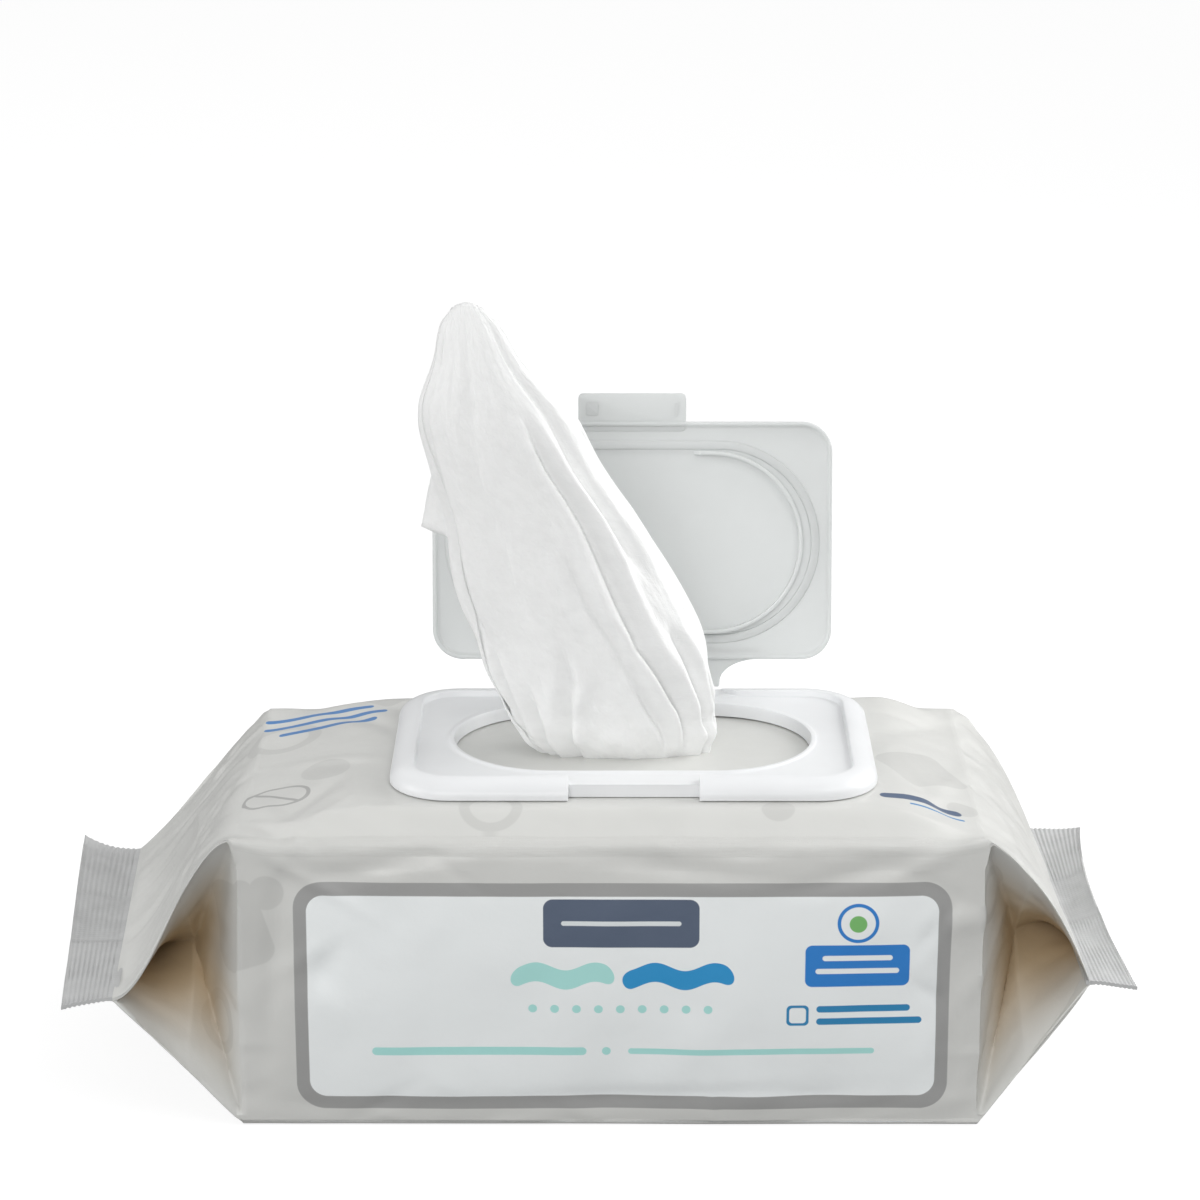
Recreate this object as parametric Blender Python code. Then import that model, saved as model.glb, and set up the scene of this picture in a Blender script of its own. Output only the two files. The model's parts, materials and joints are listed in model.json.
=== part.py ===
"""Soft pack of wet wipes, lid open, with one wipe drawn up through it.

Metres, +Z up. X runs along the pack, Y from its front to its back. The origin is the middle of the flat
base. The lid stands open at rest. Its flap is modelled shut, flat on its seat, and then turned back about the
hinge line by FLAP_OPEN.
"""

import math

import bmesh
import bpy
import numpy as np
from mathutils import Matrix, Vector

# The folded wipes and the film round them
WIPE_WIDTH = 0.180
WIPE_FOLDED_DEPTH = 0.1015
STACK_SIDE_HEIGHT = 0.0715
STACK_LEAVES = 8
LEAF_GROOVE = 0.0004
STACK_CORNER = 0.008
STACK_TOP_INSET = 0.008
# Shares of the way in and of the rise, along the stack's crowned top
STACK_CROWN_STEPS = ((0.30, 0.30), (0.62, 0.62), (0.85, 0.86), (1.0, 1.0))
SIDE_EASE = 0.0018
END_EASE = 0.0026
FILM = 0.0006
SEAT_GAP = 0.0003
# How far a joined solid stays inside the one it joins, and how far a cutter passes the one it cuts
BURIED = 0.0002
CUT_PAST = 0.0020

# The pouch: body, crowned top and rounded edges
SHOULDER_HEIGHT = 0.0760
DECK_HEIGHT = 0.0820
SHOULDER_RADIUS = 0.0070
BASE_RADIUS = 0.0030
FRONT_BULGE = 0.0012
DECK_MARGIN = 0.0030
FIN_WIDTH = 0.0120
FIN_OFFSET = 0.0080
FIN_GROOVE_WIDTH = 0.0006
FIN_GROOVE_DEPTH = 0.00025

# The folded ends and their crimped seals
LEFT_END_RUN = 0.0325
RIGHT_END_RUN = 0.0260
RIGHT_END_SKEW = 0.0050
LEFT_SEAL_HEIGHT = 0.0352
RIGHT_SEAL_HEIGHT = 0.0396
LEFT_SEAL_RISE = 0.0018
RIGHT_SEAL_RISE = 0.0004
LEFT_SEAL_TWIST = 0.0030
RIGHT_SEAL_TWIST = 0.0014
LEFT_SEAL_WIDTH = 0.0148
RIGHT_SEAL_WIDTH = 0.0128
SEAL_ROOT_THICKNESS = 0.0022
SEAL_GUSSET_THICKNESS = 0.0012
SEAL_MIDDLE_THICKNESS = 0.0009
CRIMP_DEPTH = 0.00022
CRIMP_RIDGES = 7
TOOTH_PITCH = 0.0022
TOOTH_DEPTH = 0.0009
FOLD_NOSE = 0.0008
TUCK_RAMP = 0.34

# The lid's moulded frame
LID_X = 0.0059
LID_Y = 0.0005
FRAME_LENGTH = 0.1244
FRAME_DEPTH = 0.0790
FRAME_CORNER = 0.0160
FRAME_HEIGHT = 0.0051
FRAME_EDGE = 0.0009
BAND_WIDTH = 0.0065
BAND_EASE = 0.0003
SEAT_HEIGHT = 0.0034
SHELL = 0.0013
GLUE_LAND = 0.0090
OPENING_LENGTH = 0.0930
OPENING_DEPTH = 0.0524
RIM_WIDTH = 0.0013
RIM_HEIGHT = 0.0005
RIM_DRAFT = 0.0003
THUMB_WIDTH = 0.0330
THUMB_SETBACK = 0.0032
THUMB_FLOOR = 0.00015

# The adhesive ring under it
GLUE_THICKNESS = 0.0003
GLUE_GAP = 0.00012
GLUE_INSET = 0.0036

# The die-cut slot in the film
SLOT_LENGTH = 0.0480
SLOT_DEPTH = 0.0250

# The flap
FLAP_LENGTH = 0.1076
FLAP_CORNER = 0.0082
FLAP_PLATE = 0.0010
FLAP_SKIRT = 0.0006
FLAP_SKIRT_WIDTH = 0.0012
FLAP_FLOAT = 0.00025
FLAP_EASE = 0.0004
FLAP_FRONT_GAP = 0.0005
FLAP_OPEN = math.radians(101.0)
STRIP_LENGTH = 0.0072
STRIP_WIDTH = 0.0474
STRIP_THICKNESS = 0.0008
STRIP_FLARE = 0.0062
STRIP_OVERLAP = 0.003
HINGE_SETBACK = 0.0006
WEB_RADIUS = 0.00045
HINGE_GAP = 0.0003
TAB_WIDTH = 0.0290
TAB_LENGTH = 0.0076
TAB_THICKNESS = 0.0012
TAB_CORNER = 0.0013
TAB_DIMPLE = (0.0030, 0.0042, 0.0004)
TAB_DIMPLE_SIDE = 0.0022
TAB_DIMPLE_SETBACK = 0.0012
TAB_RIB_SIDE = 0.0030
TAB_RIB_WIDTH = 0.0008
TAB_RIB_DEPTH = 0.0002
RING_GAP = 0.0005
RING_WIDTH = 0.0011
RING_HEIGHT = 0.0006
PLUG_GAP = 0.0006
PLUG_WIDTH = 0.0011
PLUG_HEIGHT = 0.0019
PLUG_BREAK = 0.0350
PLUG_BREAK_REACH = 0.0060

# The wipe that is drawn up: place and half sizes of its gathered section, from the slot to the pinched top
WIPE_STATIONS = (
    # height, x, half width, half depth
    (0.0000, 0.0040, 0.0215, 0.0100),
    (0.0140, -0.0008, 0.0253, 0.0115),
    (0.0320, -0.0050, 0.0288, 0.0120),
    (0.0485, -0.0114, 0.0279, 0.0115),
    (0.0645, -0.0170, 0.0245, 0.0105),
    (0.0790, -0.0240, 0.0214, 0.0095),
    (0.0935, -0.0292, 0.0190, 0.0080),
    (0.1060, -0.0329, 0.0114, 0.0060),
    (0.1195, -0.0360, 0.0040, 0.0030),
)
WIPE_LEAN = -0.0040
WIPE_GATHERS = 9
GATHER_DEPTH = 0.16
GATHER_TWIST = 1.1

# Soft creases in the film: place, direction in degrees, half length, half width, depth
FRONT_CREASES = (
    # x, height
    (-0.084, 0.045, 84.0, 0.024, 0.0032, 0.0009),
    (-0.052, 0.071, 12.0, 0.020, 0.0028, 0.0008),
    (0.014, 0.070, -8.0, 0.026, 0.0030, 0.0008),
    (0.062, 0.068, 16.0, 0.018, 0.0028, 0.0007),
    (0.085, 0.030, 96.0, 0.020, 0.0034, 0.0009),
    (0.004, 0.007, 2.0, 0.050, 0.0026, 0.0006),
)
TOP_CREASES = (
    # x, y
    (-0.076, -0.030, 62.0, 0.016, 0.0030, 0.0009),
    (-0.066, 0.026, -48.0, 0.018, 0.0034, 0.0009),
    (0.081, -0.024, -64.0, 0.017, 0.0032, 0.0009),
    (0.084, 0.026, 50.0, 0.015, 0.0032, 0.0008),
)

# Fineness of the grids
BODY_STATIONS = 15
END_STEPS = (0.0, 0.05, 0.12, 0.20, 0.29, 0.38, 0.48, 0.58, 0.69, 0.80, 0.90, 0.975)
INNER_BODY_STATIONS = 15
INNER_END_STEPS = (0.0, 0.05, 0.12, 0.20, 0.29, 0.38, 0.48, 0.58, 0.69, 0.80, 0.90)
ARC_STEPS = 8
SEAL_ROWS = 12
# A wall seen in the section's plane is thicker where the film slants to it
PANEL_SLANT = 1.7
TUCK_SLANT = 3.6
LEAST_RADIUS = 0.00015

# Sizes that follow from those above
BODY_LENGTH = WIPE_WIDTH + 2 * (FILM + END_EASE)
BODY_DEPTH = WIPE_FOLDED_DEPTH + 2 * (FILM + SIDE_EASE)
HALF_BODY = BODY_LENGTH / 2
HALF_DEPTH = BODY_DEPTH / 2
FRAME_FLOOR = DECK_HEIGHT + 2 * GLUE_GAP
SEAT_LEVEL = DECK_HEIGHT + SEAT_HEIGHT
FRAME_TOP = DECK_HEIGHT + FRAME_HEIGHT
PLATE_LEVEL = SEAT_LEVEL + FLAP_FLOAT + FLAP_SKIRT
HINGE_Y = LID_Y + FRAME_DEPTH / 2 - HINGE_SETBACK
HINGE_Z = PLATE_LEVEL + FLAP_PLATE / 2
LAND_LEVEL = HINGE_Z - WEB_RADIUS - HINGE_GAP
SEAT_FRONT = LID_Y - FRAME_DEPTH / 2 + BAND_WIDTH
FLAP_FRONT = SEAT_FRONT + FLAP_FRONT_GAP
FLAP_BACK = HINGE_Y - STRIP_LENGTH
FLAP_DEPTH = FLAP_BACK - FLAP_FRONT
THUMB_LEVEL = SEAT_LEVEL + THUMB_FLOOR
STACK_TOP = DECK_HEIGHT - FILM - SEAT_GAP
WIPE_FOOT = STACK_TOP + SEAT_GAP

COLOURS = {
    # base colour, roughness, metallic
    "film": ((0.70, 0.69, 0.66), 0.38, 0.0),
    "glue": ((0.80, 0.79, 0.74), 0.60, 0.0),
    "lid": ((0.90, 0.91, 0.92), 0.32, 0.0),
    "flap": ((0.86, 0.88, 0.89), 0.30, 0.0),
    "wipes": ((0.92, 0.92, 0.91), 0.85, 0.0),
}


def clear_scene():
    for obj in list(bpy.data.objects):
        bpy.data.objects.remove(obj, do_unlink=True)


def material(name):
    colour, roughness, metallic = COLOURS[name]
    made = bpy.data.materials.get(name)
    if made is None:
        made = bpy.data.materials.new(name)
        made.use_nodes = True
        shader = made.node_tree.nodes["Principled BSDF"]
        shader.inputs["Base Color"].default_value = (*colour, 1.0)
        shader.inputs["Roughness"].default_value = roughness
        shader.inputs["Metallic"].default_value = metallic
        made.diffuse_color = (*colour, 1.0)
    return made


def add_object(name, points, faces, finish):
    """A mesh object of triangles that all point outwards."""
    mesh = bpy.data.meshes.new(name)
    mesh.from_pydata([tuple(p) for p in points], [], faces)
    work = bmesh.new()
    work.from_mesh(mesh)
    bmesh.ops.triangulate(work, faces=work.faces)
    bmesh.ops.recalc_face_normals(work, faces=work.faces)
    work.to_mesh(mesh)
    work.free()
    mesh.materials.append(material(finish))
    obj = bpy.data.objects.new(name, mesh)
    bpy.context.scene.collection.objects.link(obj)
    return obj


def ring_loft(rings, closed_profile=False):
    """Points and faces of a skin over rings of equal counts: capped at both ends, or joined end to end."""
    count = len(rings[0])
    points = [p for ring in rings for p in ring]
    faces = []
    last = len(rings) if closed_profile else len(rings) - 1
    for i in range(last):
        here = i * count
        there = (i + 1) % len(rings) * count
        for j in range(count):
            k = (j + 1) % count
            faces.append((here + j, here + k, there + k, there + j))
    if not closed_profile:
        faces.append(tuple(reversed(range(count))))
        faces.append(tuple(range(len(points) - count, len(points))))
    return points, faces


def hide(cutter):
    cutter.hide_render = True
    cutter.display_type = "WIRE"
    return cutter


def combine(obj, other, operation):
    """Joins another closed mesh to an object, or cuts it away."""
    step = obj.modifiers.new(other.name, "BOOLEAN")
    step.operation = operation
    step.solver = "EXACT"
    step.object = hide(other)


def box(name, low, high, finish):
    corners = [(x, y, z) for z in (low[2], high[2]) for y in (low[1], high[1]) for x in (low[0], high[0])]
    faces = [(0, 1, 3, 2), (4, 5, 7, 6), (0, 1, 5, 4), (2, 3, 7, 6), (0, 2, 6, 4), (1, 3, 7, 5)]
    return add_object(name, corners, faces, finish)


def rounded_ring(length, depth, radius, z, centre=(LID_X, LID_Y), steps=ARC_STEPS):
    """A rounded rectangle at one height, anticlockwise, with `steps` chords in each corner."""
    radius = min(radius, length / 2 - 1e-6, depth / 2 - 1e-6)
    ring = []
    for quarter in range(4):
        middle = math.radians(90 * quarter + 45)
        cx = centre[0] + math.copysign(length / 2 - radius, math.cos(middle))
        cy = centre[1] + math.copysign(depth / 2 - radius, math.sin(middle))
        for step in range(steps + 1):
            angle = math.radians(90 * (quarter + step / steps))
            ring.append((cx + radius * math.cos(angle), cy + radius * math.sin(angle), z))
    return ring


def ease(t):
    """Smooth step from 0 to 1."""
    t = min(max(t, 0.0), 1.0)
    return t * t * (3 - 2 * t)


def crease_depth(creases, a, b):
    """Depth of the soft furrows at a place on a panel: each is a ridge of Gaussian section along a short line."""
    depth = 0.0
    for x, y, direction, half_length, half_width, deep in creases:
        angle = math.radians(direction)
        along = (a - x) * math.cos(angle) + (b - y) * math.sin(angle)
        across = -(a - x) * math.sin(angle) + (b - y) * math.cos(angle)
        depth += deep * math.exp(-((along / half_length) ** 2) - (across / half_width) ** 2)
    return depth


def crown(x, y):
    """Height of the top panel's middle above its shoulders: flat under the lid, falling to every edge."""
    reach_x = abs(x - LID_X) - FRAME_LENGTH / 2 - DECK_MARGIN
    room_x = HALF_BODY - math.copysign(LID_X, x - LID_X) - FRAME_LENGTH / 2 - DECK_MARGIN
    reach_y = abs(y - LID_Y) - FRAME_DEPTH / 2 - DECK_MARGIN
    room_y = HALF_DEPTH - FRAME_DEPTH / 2 - DECK_MARGIN
    fall = ease(1 - reach_x / room_x) * ease(1 - reach_y / room_y)
    return (DECK_HEIGHT - SHOULDER_HEIGHT) * fall


def seal_height(side, v, u=0.0):
    """Height of the seal's middle plane, v from -1 at the front to 1 at the back, u from its root to its edge."""
    if side < 0:
        return LEFT_SEAL_HEIGHT + LEFT_SEAL_RISE * v + LEFT_SEAL_TWIST * v * u * u
    return RIGHT_SEAL_HEIGHT + RIGHT_SEAL_RISE * v + RIGHT_SEAL_TWIST * v * u * u


def seal_root(side, v):
    """Distance along X from the middle of the pack to the root of a seal."""
    if side < 0:
        return HALF_BODY + LEFT_END_RUN
    return HALF_BODY + RIGHT_END_RUN - RIGHT_END_SKEW * v


def end_fall(side, t, v):
    """Share of the top panel's fall towards a seal, straight at the back and sagging at the front fold."""
    front = ease(-v)
    late = ease(t**1.15) if side < 0 else 0.55 * t + 0.45 * t**2.2
    return (1 - front) * (0.8 * t + 0.2 * ease(t)) + front * late


def section_corners(side, t):
    """The corners of the film's section: flat panels above and below, and a tuck in each side.

    t runs from 0, where the end starts, to 1 at the seal, and is 0 all along the body. Each corner is
    (y, z, radius). The tuck's two halves keep the length of the side panel, so the tuck is as deep as the
    height lost: depth squared is half the panel squared less half the gap squared.
    """
    corners = []
    radius = (SHOULDER_RADIUS, BASE_RADIUS)
    nose = [FOLD_NOSE + (r - FOLD_NOSE) * ease(1 - t / 0.3) + BURIED for r in radius]
    tight = [FOLD_NOSE / 2 + (r - FOLD_NOSE / 2) * ease(1 - t / 0.3) for r in radius]
    for v in (-1, 1):
        middle = seal_height(side, v)
        top = SHOULDER_HEIGHT - (SHOULDER_HEIGHT - middle - SEAL_ROOT_THICKNESS / 2) * end_fall(side, t, v)
        low = (middle - SEAL_ROOT_THICKNESS / 2) * t
        gap = top - low
        full = SHOULDER_HEIGHT / 2
        tuck = math.sqrt(max(full**2 - (gap / 2) ** 2, 0.0)) * ease(t / TUCK_RAMP)
        y = v * HALF_DEPTH
        side_corners = [
            (y, top, tight[0]),
            (y, top - nose[0], 0.0),
            (y - v * tuck, (top + low) / 2, 0.0),
            (y, low + nose[1], 0.0),
            (y, low, tight[1]),
        ]
        corners.append(side_corners)
    front, back = corners
    return front + back[::-1]


def inset_corners(corners, panel_wall, tuck_wall):
    """The same section one wall further in: the panels move by the wall, and the folds move to where they meet."""

    def moved(a, b, wall):
        direction = Vector((b[0] - a[0], b[1] - a[1])).normalized()
        normal = Vector((-direction.y, direction.x))
        return Vector(a[:2]) + normal * wall, direction

    front, back = corners[:5], corners[5:]
    outline = [front[0], front[2], front[4], back[0], back[2], back[4]]
    lines = (
        moved(front[1], front[2], tuck_wall),
        moved(front[2], front[3], tuck_wall),
        moved(front[4], back[0], panel_wall),
        moved(back[1], back[2], tuck_wall),
        moved(back[2], back[3], tuck_wall),
        moved(back[4], front[0], panel_wall),
    )
    inner = []
    for i, corner in enumerate(outline):
        (p, d), (q, e) = lines[i - 1], lines[i]
        cross = d.x * e.y - d.y * e.x
        if abs(cross) < 1e-9:
            meet = q
        else:
            meet = p + d * (((q - p).x * e.y - (q - p).y * e.x) / cross)
        inner.append((meet.x, meet.y, max(corner[2] - panel_wall, LEAST_RADIUS) if corner[2] else 0.0))
    return inner


def fillet(before, corner, after, radius, steps):
    """Points of an arc that rounds one corner of an outline."""
    here = Vector(corner[:2])
    first = (Vector(before[:2]) - here).normalized()
    second = (Vector(after[:2]) - here).normalized()
    half = first.angle(second) / 2
    reach = radius / math.tan(half)
    centre = here + (first + second).normalized() * (radius / math.sin(half))
    start = here + first * reach - centre
    turn = math.pi - 2 * half
    sign = 1 if start.cross(here + second * reach - centre) > 0 else -1
    return [centre + Matrix.Rotation(sign * turn * i / steps, 2) @ start for i in range(steps + 1)]


def section_ring(corners, parts, arc_steps):
    """An outline of equal counts at every station: arcs at the rounded corners, and each side cut into parts."""
    knots = []
    for i, corner in enumerate(corners):
        if corner[2]:
            after = corners[(i + 1) % len(corners)]
            knots.append(fillet(corners[i - 1], corner, after, corner[2], arc_steps))
        else:
            knots.append([Vector(corner[:2])])
    ring = []
    for i, knot in enumerate(knots):
        ring += knot
        start, end = knot[-1], knots[(i + 1) % len(knots)][0]
        for k in range(1, parts[i]):
            ring.append(start.lerp(end, k / parts[i]))
    return ring


def film_station(side, t, x, wall, parts, arc_steps):
    """One station of the pouch as points in space. On the body, x is given; in an end, t is."""
    corners = section_corners(side, t)
    if wall:
        slant = ease(t / 0.06)
        corners = inset_corners(
            corners, wall * (1 + (PANEL_SLANT - 1) * slant), wall * (1 + (TUCK_SLANT - 1) * slant)
        )
    flat = section_ring(corners, parts, arc_steps)
    points = []
    for y, z in flat:
        v = max(-1.0, min(1.0, y / HALF_DEPTH))
        px = side * (HALF_BODY + t * (seal_root(side, v) - HALF_BODY)) if t else x
        corner_top = SHOULDER_HEIGHT - wall
        on_body = ease(1 - t / 0.5)
        rise = z / corner_top if not t else 1.0
        if not t or z > seal_height(side, v) + SEAL_ROOT_THICKNESS / 2:
            lift = crown(max(-HALF_BODY, min(HALF_BODY, px)), y) if rise > 0.5 else 0.0
            share = ease((rise - 0.86) / 0.14) if not t else 1.0
            inner_y = ease((HALF_DEPTH - abs(y)) / SHOULDER_RADIUS)
            deep = crease_depth(TOP_CREASES, px, y) * share * inner_y * on_body
            z = z + lift * share * ease((HALF_DEPTH - abs(y)) / (0.5 * SHOULDER_RADIUS)) * (1 - t) - deep
        if not t:
            up = math.sin(math.pi * min(max(z / SHOULDER_HEIGHT, 0.0), 1.0))
            along = 1 - (px / HALF_BODY) ** 4
            if abs(y) > HALF_DEPTH - SHOULDER_RADIUS / 2:
                bulge = FRONT_BULGE * up * along
                bulge -= crease_depth(FRONT_CREASES, px if y < 0 else -px, z) * up
                y += math.copysign(bulge, y)
        points.append((px, y, z))
    return points


def film_rings(wall, body_stations, end_steps, parts, arc_steps):
    """All stations of the pouch from the left end to the right."""
    rings = [film_station(-1, t, 0.0, wall, parts, arc_steps) for t in reversed(end_steps[1:])]
    for i in range(body_stations + 1):
        x = (HALF_BODY - 1e-5) * (2 * i / body_stations - 1)
        rings.append(film_station(-1 if x < 0 else 1, 0.0, x, wall, parts, arc_steps))
    rings += [film_station(1, t, 0.0, wall, parts, arc_steps) for t in end_steps[1:]]
    return rings


def seal_profile():
    """Stations across a seal as (u, ridge): a smooth root, crimp ridges, and the toothed edge."""
    stations = [(-0.09, 0.0), (0.0, 0.0)]
    for i in range(CRIMP_RIDGES):
        stations.append((0.10 + 0.78 * i / CRIMP_RIDGES, 0.0))
        stations.append((0.10 + 0.78 * (i + 0.5) / CRIMP_RIDGES, 1.0))
    stations += [(0.88, 0.0), (0.93, 0.0), (1.0, 0.0)]
    return stations


def seal_plate(side):
    """A crimped end seal: a thin twisted plate, ridged along its length, thicker where the gussets lie in it.

    Rows run from front to back and columns from the root to the saw-cut edge.
    """
    width = LEFT_SEAL_WIDTH if side < 0 else RIGHT_SEAL_WIDTH
    teeth = round(BODY_DEPTH / TOOTH_PITCH)
    gusset_share = 1 - SHOULDER_HEIGHT / BODY_DEPTH
    rows = [(-1 + 2 * i / SEAL_ROWS) for i in range(SEAL_ROWS + 1)]
    profile = seal_profile()

    def half_thickness(v, u, ridge):
        fold = ease((abs(v) - gusset_share) / 0.08 + 0.5)
        flat = SEAL_MIDDLE_THICKNESS + (SEAL_GUSSET_THICKNESS - SEAL_MIDDLE_THICKNESS) * fold
        root = ease(1 - u / 0.1)
        crimp = CRIMP_DEPTH * ridge * (0.35 + 0.65 * fold)
        return (flat + (SEAL_ROOT_THICKNESS - 2 * BURIED - flat) * root) / 2 + crimp

    def place(v, u, ridge, face, tooth=0.0):
        x = side * (seal_root(side, v) + u * width - tooth * TOOTH_DEPTH)
        z = seal_height(side, v, max(u, 0.0)) + face * half_thickness(v, u, ridge)
        return (x, v * (HALF_DEPTH - BURIED), z)

    points, faces = [], []
    grid = {}
    for face in (1, -1):
        for i, v in enumerate(rows):
            for j, (u, ridge) in enumerate(profile[:-1]):
                grid[face, i, j] = len(points)
                points.append(place(v, u, ridge, face))
    edge = {}
    fine = 2 * teeth
    for face in (1, -1):
        for k in range(fine + 1):
            edge[face, k] = len(points)
            points.append(place(-1 + 2 * k / fine, 1.0, 0.0, face, tooth=k % 2))
    last = len(profile) - 2
    for i in range(len(rows) - 1):
        for j in range(last):
            for face in (1, -1):
                here, there = (grid[face, i, j], grid[face, i + 1, j]), (grid[face, i + 1, j + 1], grid[face, i, j + 1])
                faces.append(here + there)
        faces.append((grid[1, i, 0], grid[1, i + 1, 0], grid[-1, i + 1, 0], grid[-1, i, 0]))
        for face in (1, -1):
            low = round(fine * i / SEAL_ROWS)
            high = round(fine * (i + 1) / SEAL_ROWS)
            fan = [edge[face, k] for k in range(low, high + 1)]
            faces.append(tuple([grid[face, i + 1, last], grid[face, i, last]] + fan))
    for k in range(fine):
        faces.append((edge[1, k], edge[1, k + 1], edge[-1, k + 1], edge[-1, k]))
    for i in (0, SEAL_ROWS):
        for j in range(last):
            faces.append((grid[1, i, j], grid[1, i, j + 1], grid[-1, i, j + 1], grid[-1, i, j]))
        k = 0 if i == 0 else fine
        faces.append((grid[1, i, last], edge[1, k], edge[-1, k], grid[-1, i, last]))
    name = "left_seal" if side < 0 else "right_seal"
    return add_object(name, points, faces, "film")


def film_pouch():
    """The folded film: hollow body, tucked ends, crimped seals, lapped seal under the base, slot in the top."""
    outer_parts = (1, 4, 4, 1, 5, 1, 4, 4, 1, 9)
    inner_parts = (3, 3, 3, 3, 3, 6)
    pouch = add_object(
        "film_pouch", *ring_loft(film_rings(0.0, BODY_STATIONS, END_STEPS, outer_parts, 4)), "film"
    )
    inside = ring_loft(film_rings(FILM, INNER_BODY_STATIONS, INNER_END_STEPS, inner_parts, 3))
    combine(pouch, add_object("film_inside", *inside, "film"), "DIFFERENCE")
    slot = [
        rounded_ring(SLOT_LENGTH, SLOT_DEPTH, SLOT_DEPTH / 2, z, centre=(WIPE_STATIONS[0][1], 0.0))
        for z in (DECK_HEIGHT - 4 * FILM, DECK_HEIGHT + 4 * FILM)
    ]
    combine(pouch, add_object("film_slot", *ring_loft(slot), "film"), "DIFFERENCE")
    for i, y in enumerate((FIN_OFFSET, FIN_OFFSET + FIN_WIDTH)):
        low = (-HALF_BODY + BASE_RADIUS, y, -FILM)
        high = (HALF_BODY - BASE_RADIUS, y + FIN_GROOVE_WIDTH, FIN_GROOVE_DEPTH)
        combine(pouch, box(f"fin_groove_{i + 1}", low, high, "film"), "DIFFERENCE")
    for side in (-1, 1):
        combine(pouch, seal_plate(side), "UNION")
    return pouch


def wipe_stack():
    """The folded wipes as one block, its leaves showing as shallow grooves, and its top crowned under the film."""
    floor = FILM + SEAT_GAP
    rings = []
    pitch = STACK_SIDE_HEIGHT / STACK_LEAVES
    for i in range(STACK_LEAVES):
        for share, groove in ((0.08, 1.0), (0.30, 0.0), (0.78, 0.0)):
            cut = 2 * LEAF_GROOVE * groove
            z = floor + pitch * (i + share)
            rings.append(
                rounded_ring(
                    WIPE_WIDTH - cut, WIPE_FOLDED_DEPTH - cut, STACK_CORNER, z, centre=(0.0, 0.0), steps=3
                )
            )
    foot = 2 * BASE_RADIUS / 3
    rings[0] = rounded_ring(
        WIPE_WIDTH - foot, WIPE_FOLDED_DEPTH - foot, STACK_CORNER, floor, centre=(0.0, 0.0), steps=3
    )
    side_top = floor + STACK_SIDE_HEIGHT
    rise = STACK_TOP - side_top
    top_length = FRAME_LENGTH - 2 * STACK_TOP_INSET
    top_depth = FRAME_DEPTH - 2 * STACK_TOP_INSET
    for across, up in STACK_CROWN_STEPS:
        rings.append(
            rounded_ring(
                WIPE_WIDTH + (top_length - WIPE_WIDTH) * across,
                WIPE_FOLDED_DEPTH + (top_depth - WIPE_FOLDED_DEPTH) * across,
                STACK_CORNER,
                side_top + rise * up,
                centre=(LID_X * across, 0.0),
                steps=3,
            )
        )
    return add_object("wipe_stack", *ring_loft(rings), "wipes")


def wipe_at(height):
    """Centre and half sizes of the drawn wipe at a height above its foot, on a smooth curve through the stations."""
    table = np.array(WIPE_STATIONS)
    heights = table[:, 0]
    slopes = np.gradient(table[:, 1:], heights, axis=0)
    i = int(np.clip(np.searchsorted(heights, height) - 1, 0, len(heights) - 2))
    span = heights[i + 1] - heights[i]
    s = (height - heights[i]) / span
    weights = (2 * s**3 - 3 * s**2 + 1, -2 * s**3 + 3 * s**2, s**3 - 2 * s**2 + s, s**3 - s**2)
    values = weights[0] * table[i, 1:] + weights[1] * table[i + 1, 1:]
    return values + span * (weights[2] * slopes[i] + weights[3] * slopes[i + 1])


def pulled_wipe():
    """The top wipe, gathered where it leaves the slot, spread above it and pinched together at its top.

    Each section is an ellipse whose edge waves in and out, once for each gather, and the waves turn with
    height.
    """
    levels, around = 16, 45
    top = WIPE_STATIONS[-1][0]
    rings = []
    for i in range(levels + 1):
        height = top * i / levels
        x, half_width, half_depth = wipe_at(height)
        share = height / top
        ring = []
        for j in range(around):
            angle = 2 * math.pi * j / around
            wave = math.cos(WIPE_GATHERS * angle + GATHER_TWIST * math.sin(2.2 * share) + 0.7)
            deep = GATHER_DEPTH * ease(share / 0.08 + 0.2)
            scale = 1 - deep * (0.5 - 0.5 * wave)
            ring.append(
                (
                    x + half_width * scale * math.cos(angle),
                    WIPE_LEAN * math.sin(math.pi * share / 2) + half_depth * scale * math.sin(angle),
                    WIPE_FOOT + height,
                )
            )
        rings.append(ring)
    return add_object("pulled_wipe", *ring_loft(rings), "wipes")


def frame_ring(inset, z):
    """The lid frame's outline, moved in by an inset."""
    corner = max(FRAME_CORNER - inset, 0.004)
    return rounded_ring(FRAME_LENGTH - 2 * inset, FRAME_DEPTH - 2 * inset, corner, z)


def opening_ring(grow, z):
    """The lid opening's outline, a slot with round ends, grown outwards on all sides."""
    depth = OPENING_DEPTH + 2 * grow
    return rounded_ring(OPENING_LENGTH + 2 * grow, depth, depth / 2, z)


def strip_outline(grow=0.0, past=0.0):
    """The hinge strip in plan: narrow at the hinge line, flared by a round cove where it joins the flap.

    grow moves the outline outwards, and past carries it on beyond the hinge line.
    """
    half = STRIP_WIDTH / 2
    cove = STRIP_FLARE - grow
    right = [(half + grow, HINGE_Y + past)]
    for step in range(7):
        angle = math.radians(90 * step / 6)
        right.append(
            (half + STRIP_FLARE - cove * math.cos(angle), FLAP_BACK + STRIP_FLARE - cove * math.sin(angle))
        )
    right.append((half + STRIP_FLARE, FLAP_BACK - STRIP_OVERLAP))
    left = [(-x, y) for x, y in reversed(right)]
    return [(LID_X + x, y) for x, y in right + left]


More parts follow.
